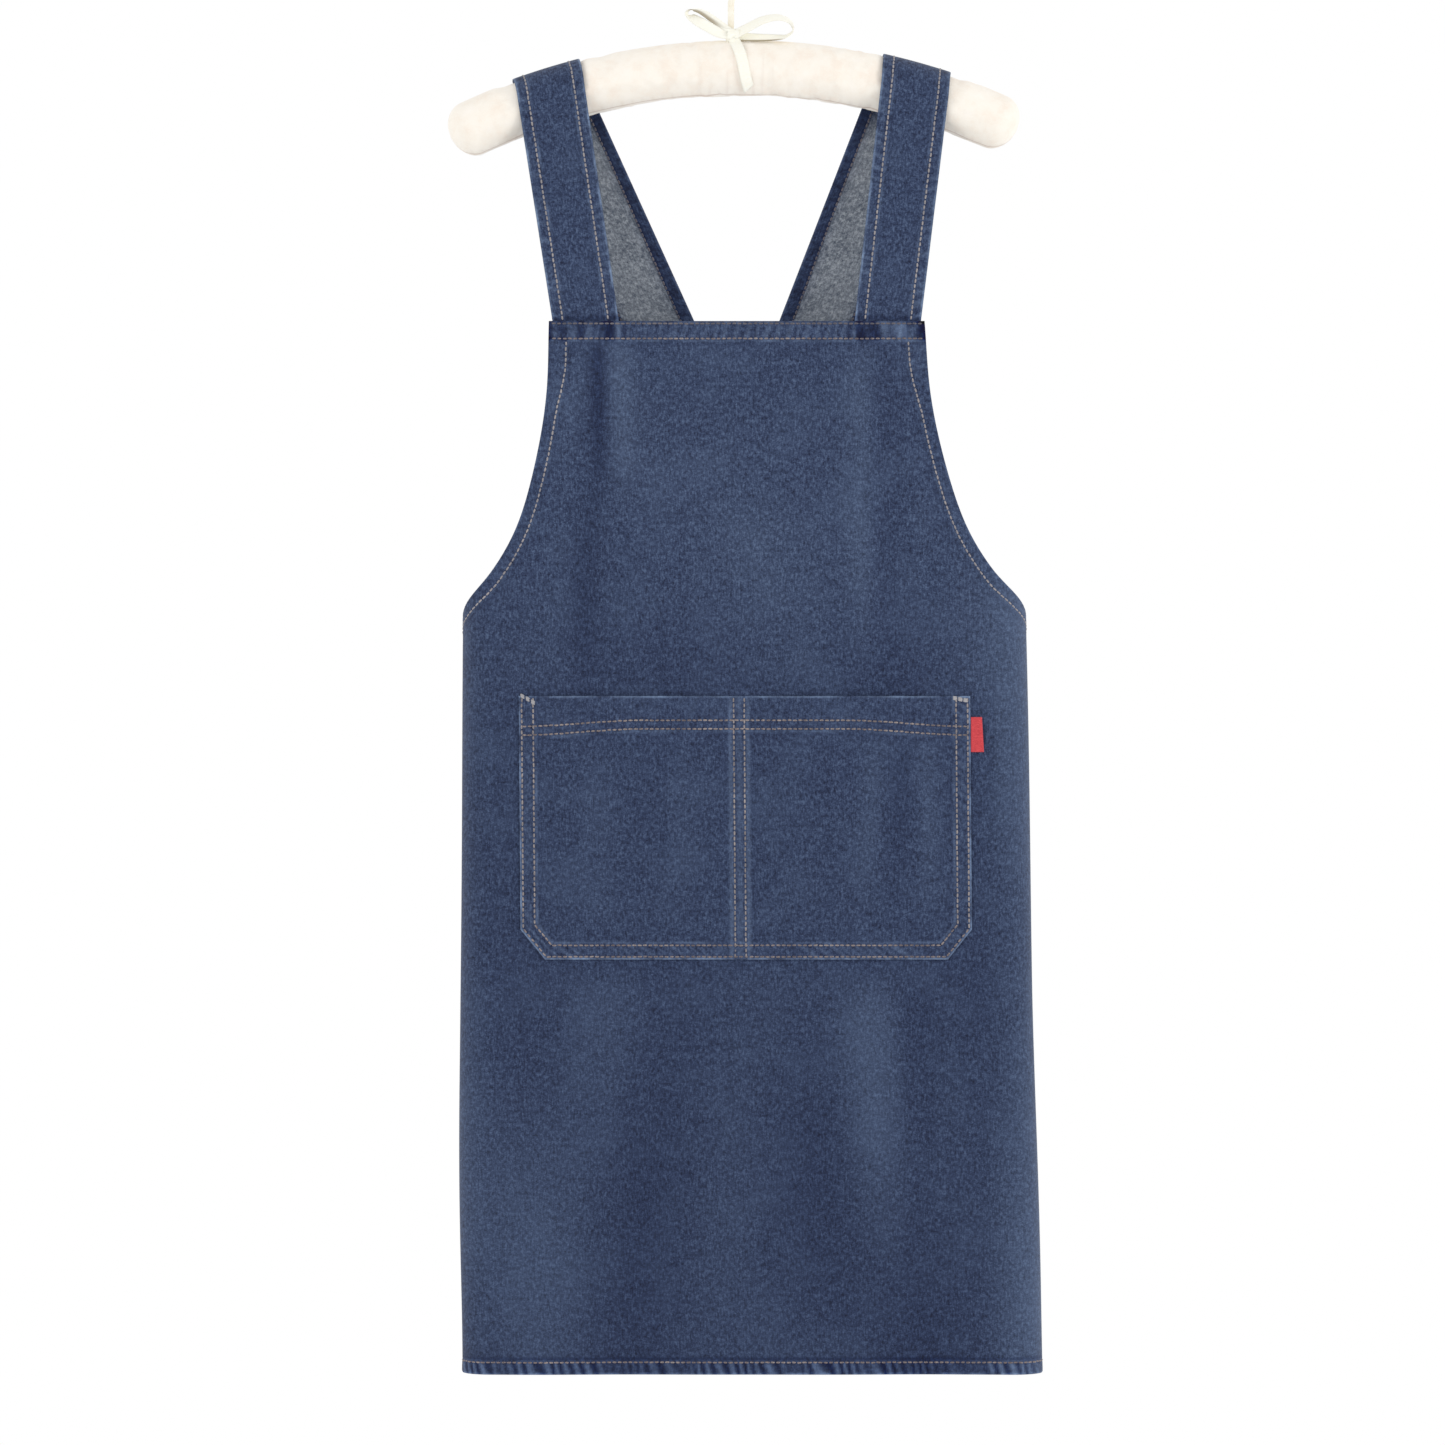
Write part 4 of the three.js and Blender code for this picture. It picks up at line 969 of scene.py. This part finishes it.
def both(sheet, path):
    return [(sheet, path, False), (sheet, path, True)]


def armhole_path(side):
    z = np.linspace(-288, -500, 150)
    width = armhole_hem(z) - 0.6
    inset = width / armhole_sine(z)
    u = armhole_reach(z) - inset
    shown = u < SEAM_GIRTH - SEAM_LAP - 1
    return np.stack([side * u, z], axis=1)[shown]


def down_share(u, drop):
    """A back panel's flat coordinates at a distance below its top edge."""
    top = back_top(np.array([u]))[0]
    return (u, BACK_SHARES * drop / (top - HEM_Z))


def above(u, z):
    """How far a back panel's top edge is above a height."""
    return back_top(np.array([u]))[0] - z


def sew_apron(backs, straps):
    edge = BIB_HALF - 1.5
    for name, z, seed, tint in zip(("upper", "lower"), BAND_STITCHES, (1, 2), (DULL, 0.0)):
        path = [(-edge, z), (edge, z)]
        sew(f"thread_bib_{name}", seed, both(front, path), f"bib_stitch_{name}", tint=tint)
    hem_z = HEM_Z + HEM_WIDTH
    lap_at = SEAM_GIRTH - SEAM_LAP - 1
    rows = both(front, [(-lap_at, hem_z), (lap_at, hem_z)])
    for sheet in backs.values():
        path = [down_share(u, above(u, hem_z)) for u in np.linspace(lap_at + 2, 400, 40)]
        rows += both(sheet, path)
    sew("thread_hem", 3, rows, "hem_stitch")
    for side, name in ((-1, "left"), (1, "right")):
        back = backs[name]
        top = [down_share(u, HEM_STITCH) for u in np.linspace(lap_at + 2, BACK_EDGE_GIRTH - 7, 60)]
        rows = both(front, armhole_path(side)) + both(back, top)
        sew(f"thread_armhole_{name}", 4 + side, rows, f"armhole_stitch_{name}", tint=PALE)
        felled = [SEAM_GIRTH - SEAM_LAP + 2, SEAM_GIRTH - SEAM_LAP + 8]
        for label, girths in (("side_seam", felled), ("back_edge", [BACK_EDGE_GIRTH - HEM_WIDTH + 0.6])):
            rows = []
            for g in girths:
                rows += both(back, [down_share(g, 10), down_share(g, above(g, hem_z) - 1)])
            sew(f"thread_{label}_{name}", 20 + side, rows, f"{label}_stitch_{name}")
        strap = straps[name]
        total = FRONT_RUN + RIDGE_RUN + BACK_RUN
        for label, u in (("inner", STRAP_STITCH), ("outer", STRAP_FLAT - STRAP_STITCH)):
            path = [(u, STRAP_TUCK + 1), (u, total - 20)]
            node = f"strap_{name}_stitch_{label}"
            sew(f"thread_strap_{name}_{label}", 30 + side, both(strap, path), node, tint=PALE)
        sew_strap_end(backs, side, name)
    sew_pocket()


def sew_strap_end(backs, side, name):
    """The box that holds a strap's end, sewn through the other side's back panel."""
    other = backs["left" if side > 0 else "right"]
    flat = skirt_half(np.array([BACK_TOP_Z]))[0] - FOLD_R

    def corner(drop, across):
        x = -strap_edge(np.array([BACK_TOP_Z - drop]), across, 1, side)[0]
        return down_share(2 * flat + np.pi * FOLD_R - x, drop)

    near, far = 0.04, 0.86
    rows = []
    for drop in (HEM_WIDTH + 2.5, 19):
        rows.append((other, [corner(drop, near), corner(drop, far)], False))
    for across in (near, far):
        rows.append((other, [corner(HEM_WIDTH + 3, across), corner(18.5, across)], False))
    sew(f"thread_strap_end_{name}", 40 + side, rows, f"strap_{name}_end_stitch")


def sew_pocket():
    def round_path(inset):
        dx, dz = POCKET_CHAMFER
        slant = np.hypot(dx, dz)
        half, bottom, top = POCKET_HALF - inset, POCKET_BOTTOM_Z + inset, POCKET_TOP_Z - 1
        cut_x = POCKET_HALF - dx - inset * (slant - dx) / dz
        cut_z = POCKET_BOTTOM_Z + dz + inset * (slant - dz) / dx
        return [(-half, top), (-half, cut_z), (-cut_x, bottom), (cut_x, bottom), (half, cut_z), (half, top)]

    rows = []
    for inset in (2, 10):
        path = round_path(inset)
        for a, b in zip(path, path[1:]):
            is_upright = a[0] == b[0]
            rows.append((pocket, [a, b], False, 0.5 * PALE * is_upright))
    for z in (POCKET_TOP_Z - 17, POCKET_TOP_Z - 23):
        across = np.linspace(2 - POCKET_HALF, POCKET_HALF - 2, 60)
        rows.append((pocket, np.stack([across, z - mouth_line_dip(across)], axis=1), False))
    for x in (POCKET_DIVIDER_X - 3.7, POCKET_DIVIDER_X + 3.7):
        rows.append((pocket, [(x, POCKET_TOP_Z - 1), (x, POCKET_BOTTOM_Z + 1)], False, 0.5 * PALE))
    for x, rise, fall in ((0.8 - POCKET_HALF, 1.6, -4.5), (POCKET_HALF - 12.5, -0.5, -2.5)):
        for k in range(3):
            z = POCKET_TOP_Z - 0.8 * k
            rows.append((pocket, [(x, z + rise), (x + 11, z + fall)], False, PALEST))
    sew("thread_pocket", 50, rows, "pocket_stitching")


# ---- hanger ----
def by_hanger(length, above, y):
    """A point beside the hanger's centre line."""
    angle = length / HANGER_BEND_R
    r = HANGER_BEND_R + above
    x = HANGER_X + r * np.sin(angle)
    return np.stack([x, y, HANGER_Z - HANGER_BEND_R + r * np.cos(angle) + hanger_lift(x)], axis=-1)


def cover_crease_shade(length, turn):
    """Painted shade where the cover is puckered by the ribbon and along its seam, from 0 to 1."""
    wander = 1.6 * np.sin(length / 13 + 2 * turn) + 1.1 * ripple(length, 20 * turn, 30, 211)
    fine = np.clip(np.sin(length / 1.5 + wander), 0, 1) ** 2 * bump(length - 2, 34)
    patchy = np.clip(0.3 + ripple(length, 8 * turn, 26, 212), 0, 1)
    seam = (turn - COVER_SEAM_TURN) * HANGER_HALF_HEIGHT
    by_seam = np.clip(np.sin(length / 1.1 + 2 * np.sin(length / 23)), 0, 1) ** 2 * bump(seam - 3, 3.5) * 0.35
    return np.clip(0.2 * fine * patchy + 0.4 * by_seam + 1.0 * bump(seam, 0.8), 0, 1)


def cover_dents(length, turn):
    """Where the straps press on the cover, from 0 to 1."""
    pressed = 0
    for side in (-1, 1):
        middle = hang(STRAP_RIDGE_Z) + side * np.mean(STRAP_RIDGE) - HANGER_X
        on_top = smooth(np.sin(turn), -0.35, 0.1)
        pressed = pressed + smooth(np.abs(length - middle - side * 2), 34, 25) * on_top
    return pressed


def cover_swell(length, turn):
    """How the padded cover stands off its plain shape: gathers at the bow, dents under the straps."""
    gather = bump(length, 42) * smooth(np.sin(turn), -0.7, 0.4)
    folds = np.sin(length / 2.1 + 1.3 * np.sin(length / 17) + 0.8 * np.cos(turn)) * 0.16 * gather
    lumps = 0.5 * ripple(length, 18 * turn, 70, 201) + 0.12 * ripple(length, 18 * turn, 19, 202)
    dents = -1.15 * cover_dents(length, turn)
    seam = bump((turn - COVER_SEAM_TURN) * HANGER_HALF_HEIGHT, 0.9)
    return np.minimum(folds + 0.3 * lumps, 0.5) + dents - 0.45 * seam


def cover_grid(rows, cols, swell):
    """Cover points over its length and round it, with what swell(length, turn) adds to its plain shape."""
    share = np.linspace(-1, 1, rows)
    straight = HANGER_HALF_SPAN / (HANGER_HALF_SPAN + HANGER_END)
    dome = np.clip((np.abs(share) - straight) / (1 - straight), 0, 0.999)
    turns = np.linspace(-np.pi, np.pi, cols, endpoint=False)
    length, turn = np.meshgrid(share * (HANGER_HALF_SPAN + HANGER_END), turns, indexing="ij")
    shrink = np.sqrt(1 - dome**2)[:, None]
    out = swell(length, turn)
    above = (HANGER_HALF_HEIGHT + out) * shrink * np.sin(turn)
    y = -(HANGER_HALF_DEPTH + out) * shrink * np.cos(turn)
    return length, turn, by_hanger(length, above, y)


def cover_puff(rows, cols):
    """How far the wadding pushes each point of the cover in or out, simulated on a coarse grid."""
    coarse = (83, 26)
    length, turn, points = cover_grid(*coarse, lambda l, t: cover_swell(l, t) - 0.8)
    cloth = make_object("cover_trial", points.reshape(-1, 3), tube_faces(*coarse, flip=True), [])
    held = cloth.vertex_groups.new(name="held")
    under_strap = cover_dents(length, turn).reshape(-1)
    by_bow = bump(length, 5).reshape(-1)
    for i, weight in enumerate(np.clip(under_strap + by_bow, 0, 1)):
        held.add([i], float(weight), "REPLACE")
    modifier = cloth.modifiers.new("filling", "CLOTH")
    settings = modifier.settings
    settings.quality = 6
    settings.mass = 0.25
    settings.tension_stiffness = settings.compression_stiffness = 15
    settings.bending_stiffness = 0.4
    settings.vertex_group_mass = "held"
    settings.shrink_min = -0.04
    settings.use_pressure = True
    settings.uniform_pressure_force = PADDING_PRESSURE
    settings.effector_weights.gravity = 0
    modifier.collision_settings.use_collision = False
    modifier.point_cache.frame_start, modifier.point_cache.frame_end = 1, PUFF_FRAMES
    scene = bpy.context.scene
    for frame_number in range(1, PUFF_FRAMES + 1):
        scene.frame_set(frame_number)
    settled = cloth.evaluated_get(bpy.context.evaluated_depsgraph_get())
    after = np.array([v.co for v in settled.data.vertices]) / MM
    scene.frame_set(1)
    bpy.data.objects.remove(cloth)
    after = after.reshape(*coarse, 3)
    angle = length / HANGER_BEND_R
    up = np.stack([np.sin(angle), 0 * angle, np.cos(angle)], axis=-1)
    out = unit(up * np.sin(turn)[..., None] - np.array([0, 1, 0]) * np.cos(turn)[..., None])
    moved = np.clip(np.sum((after - points) * out, axis=-1), -PUFF_LIMIT, PUFF_LIMIT)
    at_row = np.linspace(0, coarse[0] - 1, rows)
    at_col = np.linspace(0, coarse[1], cols, endpoint=False)
    wrapped = np.concatenate([moved, moved[:, :1]], axis=1)
    along = read_off(at_row, np.arange(coarse[0]), wrapped)
    return np.stack([np.interp(at_col, np.arange(coarse[1] + 1), row) for row in along])


def build_cover():
    rows, cols = 361, 96
    puff = cover_puff(rows, cols)

    def swell(length, turn):
        out = cover_swell(length, turn) + puff
        flat_back = 0.9 * smooth(-np.cos(turn), 0.2, 0.8)  # the crossed straps slide over it when lifted
        return np.minimum(out, COVER_SWELL_LIMIT - 1.3 * cover_dents(length, turn) - flat_back)

    length, turn, points = cover_grid(rows, cols, swell)
    crease_shade = cover_crease_shade(length, turn).reshape(-1)
    faces = tube_faces(rows, cols, flip=True)
    piece = make_object("velour_cover", points.reshape(-1, 3), faces, [ivory], {"shade": crease_shade})
    place_piece(piece, "hanger", "ivory_cloth", "hanger_cover", "hanger_padding")


# ---- hook ----
def hook_route(start_z):
    """The wire's centre line: the stem, the sweep out of it and the crook."""
    crook_r = CROOK_R + SLEEVE_OUTER_R - SEAT_DEPTH
    angles = np.radians(np.linspace(CROOK_FROM, CROOK_TO, 60))
    crook = np.stack([crook_r * np.cos(angles), -CROOK_R + crook_r * np.sin(angles)], axis=1)
    join = np.radians(CROOK_FROM)
    tangent = np.array([-np.sin(join), np.cos(join)])
    p0, p3 = np.array([0, STEM_TOP_Z]), crook[0]
    p1, p2 = p0 + [0, 9], p3 - 9 * tangent
    t = np.linspace(0, 1, 24, endpoint=False)[:, None]
    sweep = (1 - t) ** 3 * p0 + 3 * (1 - t) ** 2 * t * p1 + 3 * (1 - t) * t**2 * p2 + t**3 * p3
    stem = np.stack([np.zeros(30), np.linspace(start_z, STEM_TOP_Z, 30, endpoint=False)], axis=1)
    path = spaced(np.concatenate([stem, sweep, crook]), 0.9)
    return np.stack([path[:, 0], np.zeros(len(path)), path[:, 1]], axis=1)


def build_sleeve():
    path = hook_route(SLEEVE_FOOT_Z)
    tangent = unit(np.gradient(path, axis=0))
    sideways = np.array([0.0, 1.0, 0.0])
    inward = unit(np.cross(tangent, sideways))
    sides = 24
    along = np.arange(len(path)) * 0.9
    turn = np.linspace(0, 2 * np.pi, sides, endpoint=False)
    aa, tt = np.meshgrid(along, turn, indexing="ij")
    ruck = 0.07 * np.sin(aa * 2.4 + 2 * np.sin(tt + aa / 9)) + 0.05 * ripple(aa, 3 * tt, 6, 301)
    radius = 2.22 + ruck
    tip = np.clip((aa - (along[-1] - 2.2)) / 2.2, 0, 0.98)
    radius = radius * np.sqrt(1 - tip**2)
    points = path[:, None, :] + radius[..., None] * (
        np.cos(tt)[..., None] * sideways + np.sin(tt)[..., None] * inward[:, None, :])
    on_crown = (np.abs(points[..., 0]) < 6) & (points[..., 2] > -4)
    points[..., 2] = np.where(on_crown & (points[..., 2] < 0), 0.0, points[..., 2])
    faces = tube_faces(len(path), sides)
    piece = make_object("hook_cloth", points.reshape(-1, 3), faces, [sleeve_cloth])
    place_piece(piece, "hook", "ivory_cloth", "hook_sleeve")


# ---- bow ----
def ribbon_strip(path, wide, thickness=0.55, width=RIBBON_WIDTH, end_slant=0.0, cup=0.4, shaded=None,
                 cols=9):
    """A ribbon along path: points, faces and shade. wide gives its width direction at each point, and
    shaded(share along, share across) its shade."""
    path, wide = np.array(path, float), unit(np.array(wide, float))
    tangent = unit(np.gradient(path, axis=0))
    wide = unit(wide - tangent * np.sum(wide * tangent, axis=1, keepdims=True))
    n = unit(np.cross(tangent, wide))
    across = np.linspace(-0.5, 0.5, cols)
    share = np.linspace(0, 1, len(path))
    slant = end_slant * across[None, :] * smooth(share, 0.75, 1)[:, None]
    mid = path[:, None, :] + wide[:, None, :] * (across * width)[None, :, None]
    cupped = (cup * (1 - 4 * across**2))[None, :, None]
    mid = mid + tangent[:, None, :] * slant[..., None] + n[:, None, :] * cupped
    top = (mid + n[:, None, :] * thickness / 2).reshape(-1, 3)
    low = (mid - n[:, None, :] * thickness / 2).reshape(-1, 3)
    rows, count = len(path), len(path) * cols
    both_sides = [grid_faces(rows, cols), grid_faces(rows, cols, count, flip=True)]
    faces = np.concatenate([*both_sides, rim_walls(rows, cols)])
    flip = np.dot(np.cross(mid[0, 1] - mid[0, 0], mid[1, 0] - mid[0, 0]), n[0]) < 0
    shade = (0 * slant if shaded is None else shaded(share[:, None], across[None, :])).reshape(-1)
    return np.concatenate([top, low]), faces[:, ::-1] if flip else faces, np.concatenate([shade, shade])


def tilt_between(directions, count):
    """Directions that turn evenly from one to the next."""
    directions = np.array(directions, float)
    at = np.linspace(0, len(directions) - 1, count)
    return unit(read_off(at, np.arange(len(directions)), directions))


def build_bow():
    pieces = []
    z = BOW_Z
    right = spline([(2, -8, z), (10, -9, z + 4), (22, -10, z + 10), (33, -9.5, z + 12.2), (41, -8, z + 9.5),
                    (43.5, -7.5, z + 3.5), (38.5, -7, z - 0.9), (28, -6.8, z - 1.7), (14, -6.5, z - 1.5),
                    (3, -5.5, z - 0.8)])
    left = spline([(3, -8, z + 0.5), (-8, -9.5, z + 1.5), (-18, -10, z + 6.5), (-26.5, -9.5, z + 11.5),
                   (-30, -8, z + 15), (-27.5, -6.5, z + 17.6), (-21, -6, z + 16.6), (-12, -5.5, z + 11),
                   (-4, -5.5, z + 5.4), (2, -5.5, z + 1.5)])
    right_faces = [(-0.5, 0.8, 1.2), (-0.2, 1, 0.8), (0.3, 1, 0.5), (0, 0.8, 1.2)]
    left_faces = [(0.5, 0.35, 0.9), (0.5, 0.4, 0.9), (0.1, 1, 0.15), (0.35, 0.75, 0.6), (0.3, 0.8, 0.5)]

    # Painted shadow along the lower edge of the right loop's lower strand, where it lies on the cover, and a
    # little at its turn.
    def shadow_under_right(along, across):
        return smooth(along, 0.66, 0.76) * smooth(across, -0.2, -0.5) + 0.25 * bump(along - 0.52, 0.06)

    # Painted shade on the left loop's back strand, along its edge inside the loop.
    def shade_inside_left(along, across):
        return 0.85 * smooth(along, 0.42, 0.52) * smooth(along, 0.95, 0.75) * smooth(across, 0.1, -0.35)

    pieces.append(ribbon_strip(right, tilt_between(right_faces, len(right)), cup=0.5, shaded=shadow_under_right))
    pieces.append(ribbon_strip(left, tilt_between(left_faces, len(left)), cup=0.5, shaded=shade_inside_left))

    def on_cover(x, level, face):
        rise = np.clip((level - hanger_z(x)) / (HANGER_HALF_HEIGHT + 0.6), -1, 1)
        return face * (HANGER_HALF_DEPTH + 0.5) * np.sqrt(1 - rise**2)

    for face, xs, end in ((-1, (1.5, 13.5), -110.5), (1, (0, -2), -85.0)):
        t = np.linspace(0, 1, 40)
        x = xs[0] + (xs[1] - xs[0]) * t + 1.0 * np.sin(t * 5)
        level = (z - 2) + (end - z + 2) * t
        off_cover = face * (0.3 + 0.25 * np.sin(t * 9))
        y = face * np.maximum(np.abs(on_cover(x, level, face)), 9 - 9 * t) + off_cover
        path = np.stack([x, y, level], axis=1)
        wide = tilt_between([(1, 0, 0.1), (1, 0, 0.28)], len(path))
        pieces.append(ribbon_strip(path, wide, end_slant=-5.0, cup=0.2))
    ring_turn = np.linspace(0, 2 * np.pi, 40)
    ring = np.stack([3.4 * np.cos(ring_turn), 3.4 * np.sin(ring_turn), 0 * ring_turn + z - 0.5], axis=1)
    pieces.append(ribbon_strip(ring, tilt_between([(0, 0, 1)] * 2, 40), width=6.5, cup=0.0))
    knot_turn = np.linspace(0, 2 * np.pi, 48)
    bulge = 1 + 0.06 * np.sin(3 * knot_turn)
    knot = np.stack([1.6 + 0 * knot_turn, -6.9 + 3.0 * np.cos(knot_turn) * bulge,
                     z - 0.6 + 4.3 * np.sin(knot_turn) * bulge], axis=1)
    knot_wide = tilt_between([(1, 0, 0.12)] * 2, 48)
    pieces.append(ribbon_strip(knot, knot_wide, width=8.6, cup=-0.9, thickness=0.8))
    verts, faces, shades, base = [], [], [], 0
    for points, quads, shade in pieces:
        verts.append(points)
        shades.append(shade)
        faces += [[base + int(j) for j in q] for q in quads]
        base += len(points)
    shade = {"shade": np.concatenate(shades)}
    piece = make_object("satin_bow", np.concatenate(verts), faces, [ribbon_cloth], shade)
    place_piece(piece, "hanger", "ribbon", "ribbon_bow")


# ---- label ----
def build_label():
    """The woven tab, folded in two: out from the pocket's seam, round its fold and back."""
    low, high = (np.array(corner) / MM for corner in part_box("label_tab"))
    layer, fold_r, reach = 0.3, 0.21, 10.0
    tucked, short, slanted = 0.4, 1.6, 1.4  # under the pocket's edge, off the tab's box, and its lean
    height = high[2] - low[2]
    out = np.linspace(0, reach - fold_r, 13, endpoint=False)
    turn = np.linspace(-np.pi / 2, np.pi / 2, 9)
    along = np.concatenate([out, reach - fold_r + fold_r * np.cos(turn), out[::-1]])
    apart = np.concatenate([0 * out - fold_r, fold_r * np.sin(turn), 0 * out + fold_r])
    path = np.stack([along, apart, 0 * along], axis=1)
    points, faces, _ = ribbon_strip(path, [(0, 0, 1)] * len(path), layer, height, cup=0.0, cols=25)
    u, v = points[:, 0] / (reach + layer / 2), points[:, 2] / height + 0.5
    x = low[0] - tucked + (high[0] - low[0] - short + slanted * (1 - v)) * u
    middle = (low[1] + high[1]) / 2 - 0.5 * smooth(u, 0.1, 1) - 0.25 * np.sin(v * np.pi) * u
    y = middle + points[:, 1] * (1 + 0.28 * bump((1 - u) * reach, 1.4))
    piece = make_object("red_tab", np.stack([x, y, low[2] + height * v], axis=1), faces, [label_cloth])
    place_piece(piece, "label", "label", "label_tab")


# ---- studio ----
def aim(thing, place, target):
    thing.location = Vector(place)
    thing.rotation_euler = (Vector(target) - Vector(place)).to_track_quat("-Z", "Y").to_euler()


def add_light(name, place, target, size, power):
    data = bpy.data.lights.new(name, "AREA")
    data.shape, data.size, data.energy = "SQUARE", size, power
    light = bpy.data.objects.new(name, data)
    bpy.context.scene.collection.objects.link(light)
    aim(light, place, target)


def build_studio():
    scene = bpy.context.scene
    scene.view_settings.view_transform = "Standard"
    scene.view_settings.look = "None"
    world = bpy.data.worlds.new("studio")
    scene.world = world
    world.use_nodes = True
    nodes, links = world.node_tree.nodes, world.node_tree.links
    around = nodes["Background"]
    around.inputs["Color"].default_value = (1, 1, 1, 1)
    around.inputs["Strength"].default_value = 0.8
    seen = nodes.new("ShaderNodeBackground")
    seen.inputs["Color"].default_value = (1, 1, 1, 1)
    seen.inputs["Strength"].default_value = 1.0
    path = nodes.new("ShaderNodeLightPath")
    mix = nodes.new("ShaderNodeMixShader")
    links.new(path.outputs["Is Camera Ray"], mix.inputs[0])
    links.new(around.outputs[0], mix.inputs[1])
    links.new(seen.outputs[0], mix.inputs[2])
    links.new(mix.outputs[0], nodes["World Output"].inputs["Surface"])

    middle = (0, 0, -0.5)
    add_light("left", (-2.7, -1.6, 0.3), middle, 1.4, 20)
    add_light("right", (2.7, -1.5, 0.0), middle, 1.4, 26)
    add_light("back", (0.6, 2.6, 0.8), middle, 1.8, 16)

    floor_z = -1.5
    half_x, near_y, far_y = 5.0, -5.0, 3.0
    mesh = bpy.data.meshes.new("floor")
    ends = ((-half_x, near_y), (half_x, near_y), (half_x, far_y), (-half_x, far_y))
    mesh.from_pydata([(*end, floor_z) for end in ends], [], [(0, 1, 2, 3)])
    floor = bpy.data.objects.new("floor", mesh)
    scene.collection.objects.link(floor)
    m = Nodes("pale_floor")
    mesh.materials.append(m.finish((0.86, 0.86, 0.86), 0.8))

    camera = bpy.data.objects.new("camera", bpy.data.cameras.new("camera"))
    scene.collection.objects.link(camera)
    distance, frame_width = 4.0, 1.0115
    camera.data.sensor_width = 36.0
    camera.data.lens = 36.0 * distance / frame_width
    aim(camera, (-0.00595, -distance - 0.02, -0.55505), (-0.00595, 0, -0.55505))
    scene.camera = camera


build_studio()
front_piece = build_front()
backs, back_pieces, straps, strap_pieces = {}, {}, {}, {}
for side, name in ((-1, "left"), (1, "right")):
    back_pieces[name], backs[name] = build_back(side, name)
    strap_pieces[name], straps[name] = build_strap(side, name)
pocket_piece = build_pocket()
sew_apron(backs, straps)
build_cover()
build_sleeve()
build_bow()
build_label()
for node, material in (("hanger_core", wood), ("hook_washer", steel), ("hook_wire", steel)):
    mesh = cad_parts[node].data
    mesh.materials.clear()
    mesh.materials.append(material)

bpy.context.view_layer.update()
